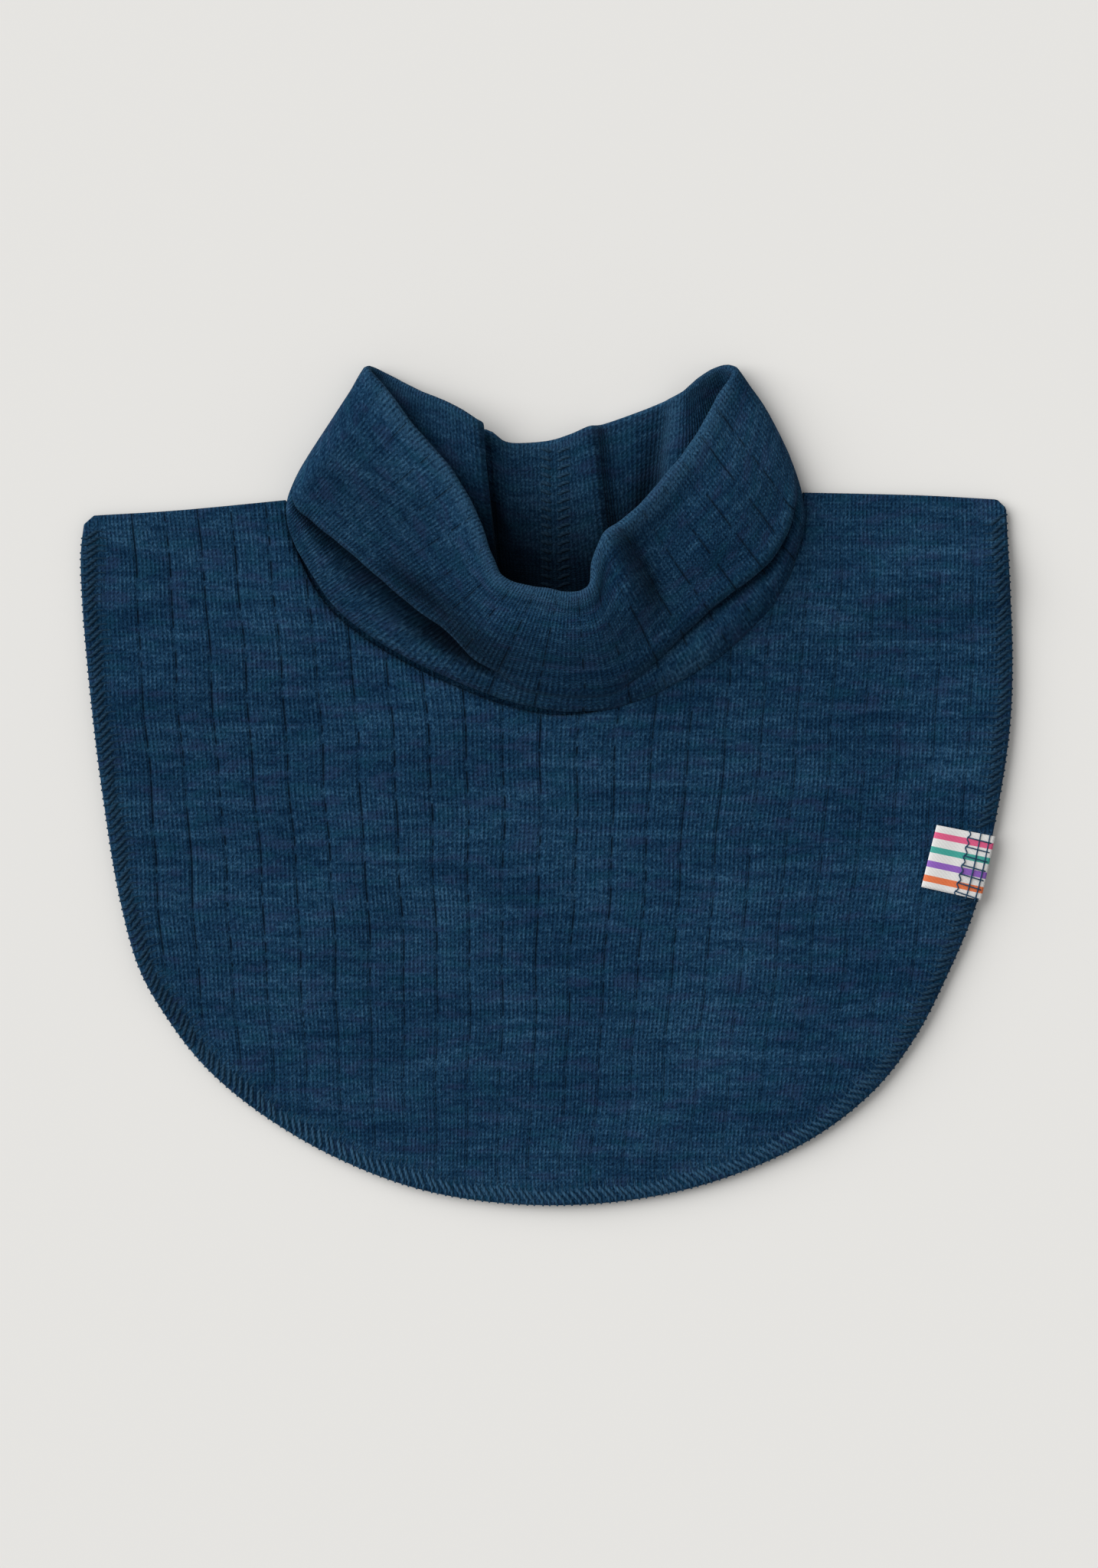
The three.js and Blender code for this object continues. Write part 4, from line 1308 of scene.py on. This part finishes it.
# %% Hems of both panels
LABEL_SPAN = (-31.6, -13.4)  # in y: the stretch of the hem that the label covers
# how strongly painted shade darkens the thread up the sides and at the inner ends
SIDE_STRAND_SHADE = 0.58
INNER_END_SHADE = 0.55
UNDER_RADIUS = 0.5  # as a share of the radius on the front
UNDER_LIFT = 0.3


def off_label(places):
    beside = (places[:, 1] < LABEL_SPAN[0]) | (places[:, 1] > LABEL_SPAN[1])
    return beside | (places[:, 0] < 0)


def everywhere(places):
    return np.ones(len(places), bool)


front_paths = hem_strands(outer_line, front_height, off_label)
inner_end = smooth(3.5, 4.8, np.array([step["inward"] for step in LOOPER]))
up_the_sides = smooth(-104, -60, front_paths[..., 1])
# Painted shade darkens the front hem's thread up the sides and at each strand's inner end.
strand_shade = np.maximum(SIDE_STRAND_SHADE * up_the_sides, INNER_END_SHADE * inner_end)
front_hem = strands("front_hem_stitches", front_paths, LOOPER_RADII, overlock_thread, strand_shade)
back_paths = hem_strands(drawn_in(outer_line, BACK_INSET), back_height, everywhere,
                         side=-1, lift_share=UNDER_LIFT, sink=0.3)
back_hem = strands("back_hem_stitches", back_paths, [UNDER_RADIUS * r for r in LOOPER_RADII],
                   overlock_thread)

# %% [markdown]
# ## Label
# The care label is a short woven tape, folded double and caught in the hem by its raw ends.
# Plain coloured bands run along it. A thin box with a picture on it would look the same from
# above, but this one can be seen to be folded: it is one sheet that follows a narrow U.

# %% Places on the label
LABEL_CORNERS = np.array([[99.6, -27.5], [115.2, -31.0], [119.0, -14.0], [103.7, -11.0]])
LAYER_Z = 0.22  # the lower layer's middle lies this far above the knit
LAYER_STEP = 0.4


def label_place(along, across):
    """Point of the label: along from its fold to the hem, across from bottom to top."""
    bottom = mix(LABEL_CORNERS[0], LABEL_CORNERS[1], along[..., None])
    top = mix(LABEL_CORNERS[3], LABEL_CORNERS[2], along[..., None])
    return mix(bottom, top, across[..., None])


def label_top(place, layer):
    """Mid height of the label's lower or upper layer, 0 or 1, above the bib."""
    flat = place.reshape(-1, 2)
    z = front_height(flat[:, 0], flat[:, 1]).reshape(place.shape[:-1])
    return z + KNIT / 2 + LAYER_Z + LAYER_STEP * layer


print("label in mm:", [round(float(np.linalg.norm(LABEL_CORNERS[i] - LABEL_CORNERS[0])), 1)
                       for i in (1, 3)])

# %% Middle surface of the label
LABEL_STEPS = 22
FOLD_STEPS = 7
FOLD_OUT = 0.2  # the fold bulges past the label's end
CURL = 0.7  # and stands up off the bib

turns = np.linspace(0, 1, LABEL_STEPS)
fold = np.linspace(-0.5, 0.5, FOLD_STEPS)[1:-1] * np.pi
u_along = np.concatenate([turns[::-1], 0 * fold, turns])
u_layer = np.concatenate([0 * turns, 0.5 + 0.5 * np.sin(fold), 0 * turns + 1])
u_out = np.concatenate([0 * turns, FOLD_OUT * np.cos(fold), 0 * turns])
across = np.linspace(0, 1, LABEL_STEPS)
grid_along, grid_across = np.meshgrid(u_along, across, indexing="ij")
label_xy = label_place(grid_along, grid_across)
way = LABEL_CORNERS[1] - LABEL_CORNERS[0]
label_xy = label_xy - (way / np.linalg.norm(way)) * u_out[:, None, None]
curl = CURL * (1 - smooth(0, 0.45, grid_along)) + 0.12 * np.sin(grid_across * 7 + grid_along * 3)
label_z = label_top(label_xy, u_layer[:, None]) + curl
label_mid = np.dstack([label_xy, label_z])
print("label's grid of points:", label_mid.shape[:2])

# %% [markdown]
# A Solidify modifier could thicken the sheet, but the label is only a third of a millimetre
# thick and needs its bands on both faces, so its two faces and its rim are joined here. The
# weave is a fine wave in both directions of its UV map, and the bands are stops of a ramp.


# %% Label tape
TAPE = 0.34
TAPE_WHITE = (0.80, 0.79, 0.77)
WEAVE_SHADE = (0.30, 0.30, 0.32)
LABEL_BANDS = [(0.10, 0.20, (0.80, 0.16, 0.03)), (0.33, 0.43, (0.26, 0.09, 0.50)),
               (0.56, 0.66, (0.02, 0.36, 0.30)), (0.79, 0.89, (0.75, 0.08, 0.22))]


def sheet_mesh(name, grid, thickness, material, uv):
    """A sheet of even thickness over a grid of middle points."""
    tall, wide = grid.shape[:2]
    normal = np.cross(np.gradient(grid, axis=1), np.gradient(grid, axis=0))
    normal /= np.linalg.norm(normal, axis=-1, keepdims=True)
    points = np.concatenate([(grid + s * normal * thickness / 2).reshape(-1, 3) for s in (1, -1)])
    ids = np.arange(tall * wide).reshape(tall, wide)
    faces = []
    for i in range(tall - 1):
        for j in range(wide - 1):
            quad = [ids[i, j], ids[i, j + 1], ids[i + 1, j + 1], ids[i + 1, j]]
            faces += [quad, [q + tall * wide for q in quad[::-1]]]
    rim = np.concatenate([ids[0, :-1], ids[:-1, -1], ids[-1, :0:-1], ids[:0:-1, 0]])
    for a, b in zip(rim, np.roll(rim, -1)):
        faces.append([b, a, a + tall * wide, b + tall * wide])
    faces = [[int(corner) for corner in face] for face in faces]
    pairs = np.concatenate([uv.reshape(-1, 2)] * 2)
    made = mesh_object(name, points, faces, material,
                       {"tape": [pairs[corner] for face in faces for corner in face]})
    bpy.ops.object.select_all(action="DESELECT")
    made.select_set(True)
    bpy.context.view_layer.objects.active = made
    bpy.ops.object.mode_set(mode="EDIT")
    bpy.ops.mesh.select_all(action="SELECT")
    bpy.ops.mesh.normals_make_consistent(inside=False)
    bpy.ops.object.mode_set(mode="OBJECT")
    return made


def tape(name):
    b = Board(name)
    along, over = b.parts(b.node("ShaderNodeUVMap", {"uv_map": "tape"}, {}))
    stops = [(0.0, TAPE_WHITE)]
    for low, high, colour in LABEL_BANDS:
        stops += [(low, colour), (high, TAPE_WHITE)]
    bands = b.node("ShaderNodeValToRGB", {"stops": stops}, {"Fac": over})
    weave = (along * 62).wave() * 0.6 + (over * 48).wave() * 0.4
    colour = b.blend(weave * 0.16, bands, WEAVE_SHADE)
    return b.surface({"Base Color": colour, "Roughness": 0.55, "Specular IOR Level": 0.35,
                      "Normal": b.bump(weave, 0.00006)})


label_uv = np.dstack([grid_along, grid_across])
label_tape = tape("label_tape")
label = sheet_mesh("label_tape", label_mid, TAPE, label_tape, label_uv)
print("label faces:", len(label.data.polygons))

# %% [markdown]
# Over the label's outer end the hem's thread shows thin and dark on the white, as a ladder:
# rungs across the hem and three long rails. They are the same kind of strands as the hem's.

# %% Thread ladder over the label
LADDER_PITCH = 2.55
LADDER_RADIUS = 0.17
RUNG = rows(["inward", "lift"], [[-0.15, -0.5], [0.1, 0.15], [1.6, 0.3], [3.2, 0.2], [4.7, 0.3],
                                 [6.2, 0.15], [6.5, -0.2]])
RAILS = rows(["inward", "sway"], [[0.8, 0], [3.3, 0], [6.3, 0.35]])
RAIL_LIFT = 0.18


def label_strands():
    """Paths of the rungs and of the rails over the label."""
    along = lengths(outer_line)
    over = outer_line[:, 0] > 0
    ends = [np.interp(y, outer_line[over, 1], along[over]) for y in LABEL_SPAN]
    starts = np.arange(ends[0] + 0.9, ends[1] - 0.4, LADDER_PITCH)
    rungs = []
    for step in RUNG:
        inward = np.full(len(starts), step["inward"])
        place = hem_place(outer_line, starts + 0.05 * inward, inward)
        rungs.append(np.column_stack([place, label_top(place, 1) + TAPE / 2 + step["lift"]]))
    rails_at = np.linspace(ends[0], ends[1], 7 * len(starts))
    wave = np.cos((rails_at - starts[0]) / LADDER_PITCH * 2 * np.pi)
    lines = []
    for rail in RAILS:
        place = hem_place(outer_line, rails_at, rail["inward"] + rail["sway"] * wave)
        lines.append(np.column_stack([place, label_top(place, 1) + TAPE / 2 + RAIL_LIFT]))
    return np.stack(rungs, 1), np.array(lines)


rungs, ladder_rails = label_strands()
label_rungs = strands("label_rungs", rungs, [LADDER_RADIUS] * len(RUNG), overlock_thread)
label_rails = strands("label_rails", ladder_rails, [LADDER_RADIUS] * ladder_rails.shape[1],
                      overlock_thread)

# %% [markdown]
# ## Seams
# The collar's tube is closed by an overlocked seam down the middle of the back, whose two rows
# of chain show on its inside. Each row is a slanted stitch, repeated down the hollow. A stitch
# takes its height from the nearest points of the collar's inner face, so it lies on the cloth.

# %% Chain seam inside the collar
CHAIN_PITCH = 2.25
CHAIN_ENDS = (89.0, 50)  # in y, down into the hollow
CHAIN_LEG = rows(["x", "y", "lift", "radius"], [
    [-2.5, 0.5, -0.40, 0.34], [-1.9, 0.5, -0.08, 0.48], [-0.9, 0.15, 0.02, 0.54],
    [0.0, -0.25, -0.06, 0.46], [0.5, -0.4, -0.40, 0.30],
])
CHAIN_LOOP = rows(["x", "y", "lift", "radius"], [
    [5.6, 0.4, -0.40, 0.30], [4.9, 0.5, -0.06, 0.44], [3.8, 0.3, 0.02, 0.50],
    [2.6, -0.35, -0.06, 0.44], [1.8, -0.5, -0.40, 0.30],
])
SEAM_X = 0.2


def back_wall_height(places):
    """Height of the collar's inner face at the back, seen from above."""
    grid = inside[:, ~front[0]].reshape(-1, 3)
    found = []
    for x, y in places:
        away = (grid[:, 0] - x) ** 2 + (grid[:, 1] - y) ** 2
        near = np.argsort(away)[:4]
        weight = 1 / (away[near] + 0.05)
        found.append((grid[near, 2] * weight).sum() / weight.sum())
    return np.array(found)


def chain_seam(name, steps):
    ys = np.arange(*CHAIN_ENDS, -CHAIN_PITCH)
    paths = []
    for step in steps:
        place = np.column_stack([np.full(len(ys), SEAM_X + step["x"]), ys + step["y"]])
        paths.append(np.column_stack([place, back_wall_height(place) + step["lift"]]))
    paths = np.stack(paths, 1)
    # Painted shade darkens the chain, more down in the hollow.
    deep = 0.45 + 0.5 * smooth(*HOLLOW, paths[..., 1])
    return strands(name, paths, [step["radius"] for step in steps], overlock_thread, deep)


chain_left = chain_seam("back_seam_left", CHAIN_LEG)
chain_right = chain_seam("back_seam_right", CHAIN_LOOP)

# %% [markdown]
# The panels are joined along the shoulders by a plain seam, which shows as a thin cord between
# them. It is one long strand on each side.

# %% Shoulder seams
SHOULDER_CORD = 0.5  # its radius
CORD_ENDS = (1.5, 2.5)  # left free beside the neck and at the corner
CORD_POINTS = 60
CORD_Z = 1.35

cords = []
for line in (left_shoulder, right_shoulder):
    places = np.linspace(CORD_ENDS[0], lengths(line)[-1] - CORD_ENDS[1], CORD_POINTS)
    run = at_lengths(line, places) - [0, 1.1]
    cords.append(np.column_stack([run, np.full(len(run), CORD_Z)]))
shoulder_seams = strands("shoulder_seams", cords, [SHOULDER_CORD] * CORD_POINTS, overlock_thread)

# %% [markdown]
# ## What each piece stands for
# The three knitted pieces and the label stand for the four solids of the CAD model. Nothing
# moves on its own, so all of them and the stitches ride on the one body.

# %% Bodies
for piece, node, finish in ((collar, "collar", "wool_rib"),
                            (front_panel, "front_panel", "wool_rib"),
                            (back_panel, "back_panel", "wool_rib"),
                            (label, "label", "label_tape")):
    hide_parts(node)
    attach(piece, "root")
stitches = (front_hem, back_hem, label_rungs, label_rails, chain_left, chain_right,
            shoulder_seams)
for piece in stitches:
    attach(piece, "root")
print("pieces:", 4 + len(stitches))

# %% [markdown]
# A sheet keeps the size it was cut to, however it is folded. The collar is 36 ribs around and
# twice its standing height. The panels are cut from rectangles, less the neckline and the
# rounded corners. The label is twice as long as what shows of it.

# %% Sheets of cloth
print("sheets:", [piece.name for piece in (collar, front_panel, back_panel, label)])

# %% [markdown]
# ## Size
# Knit is softer than the solids it stands for; the box around all the pieces should agree with
# the box of the CAD model within a millimetre.
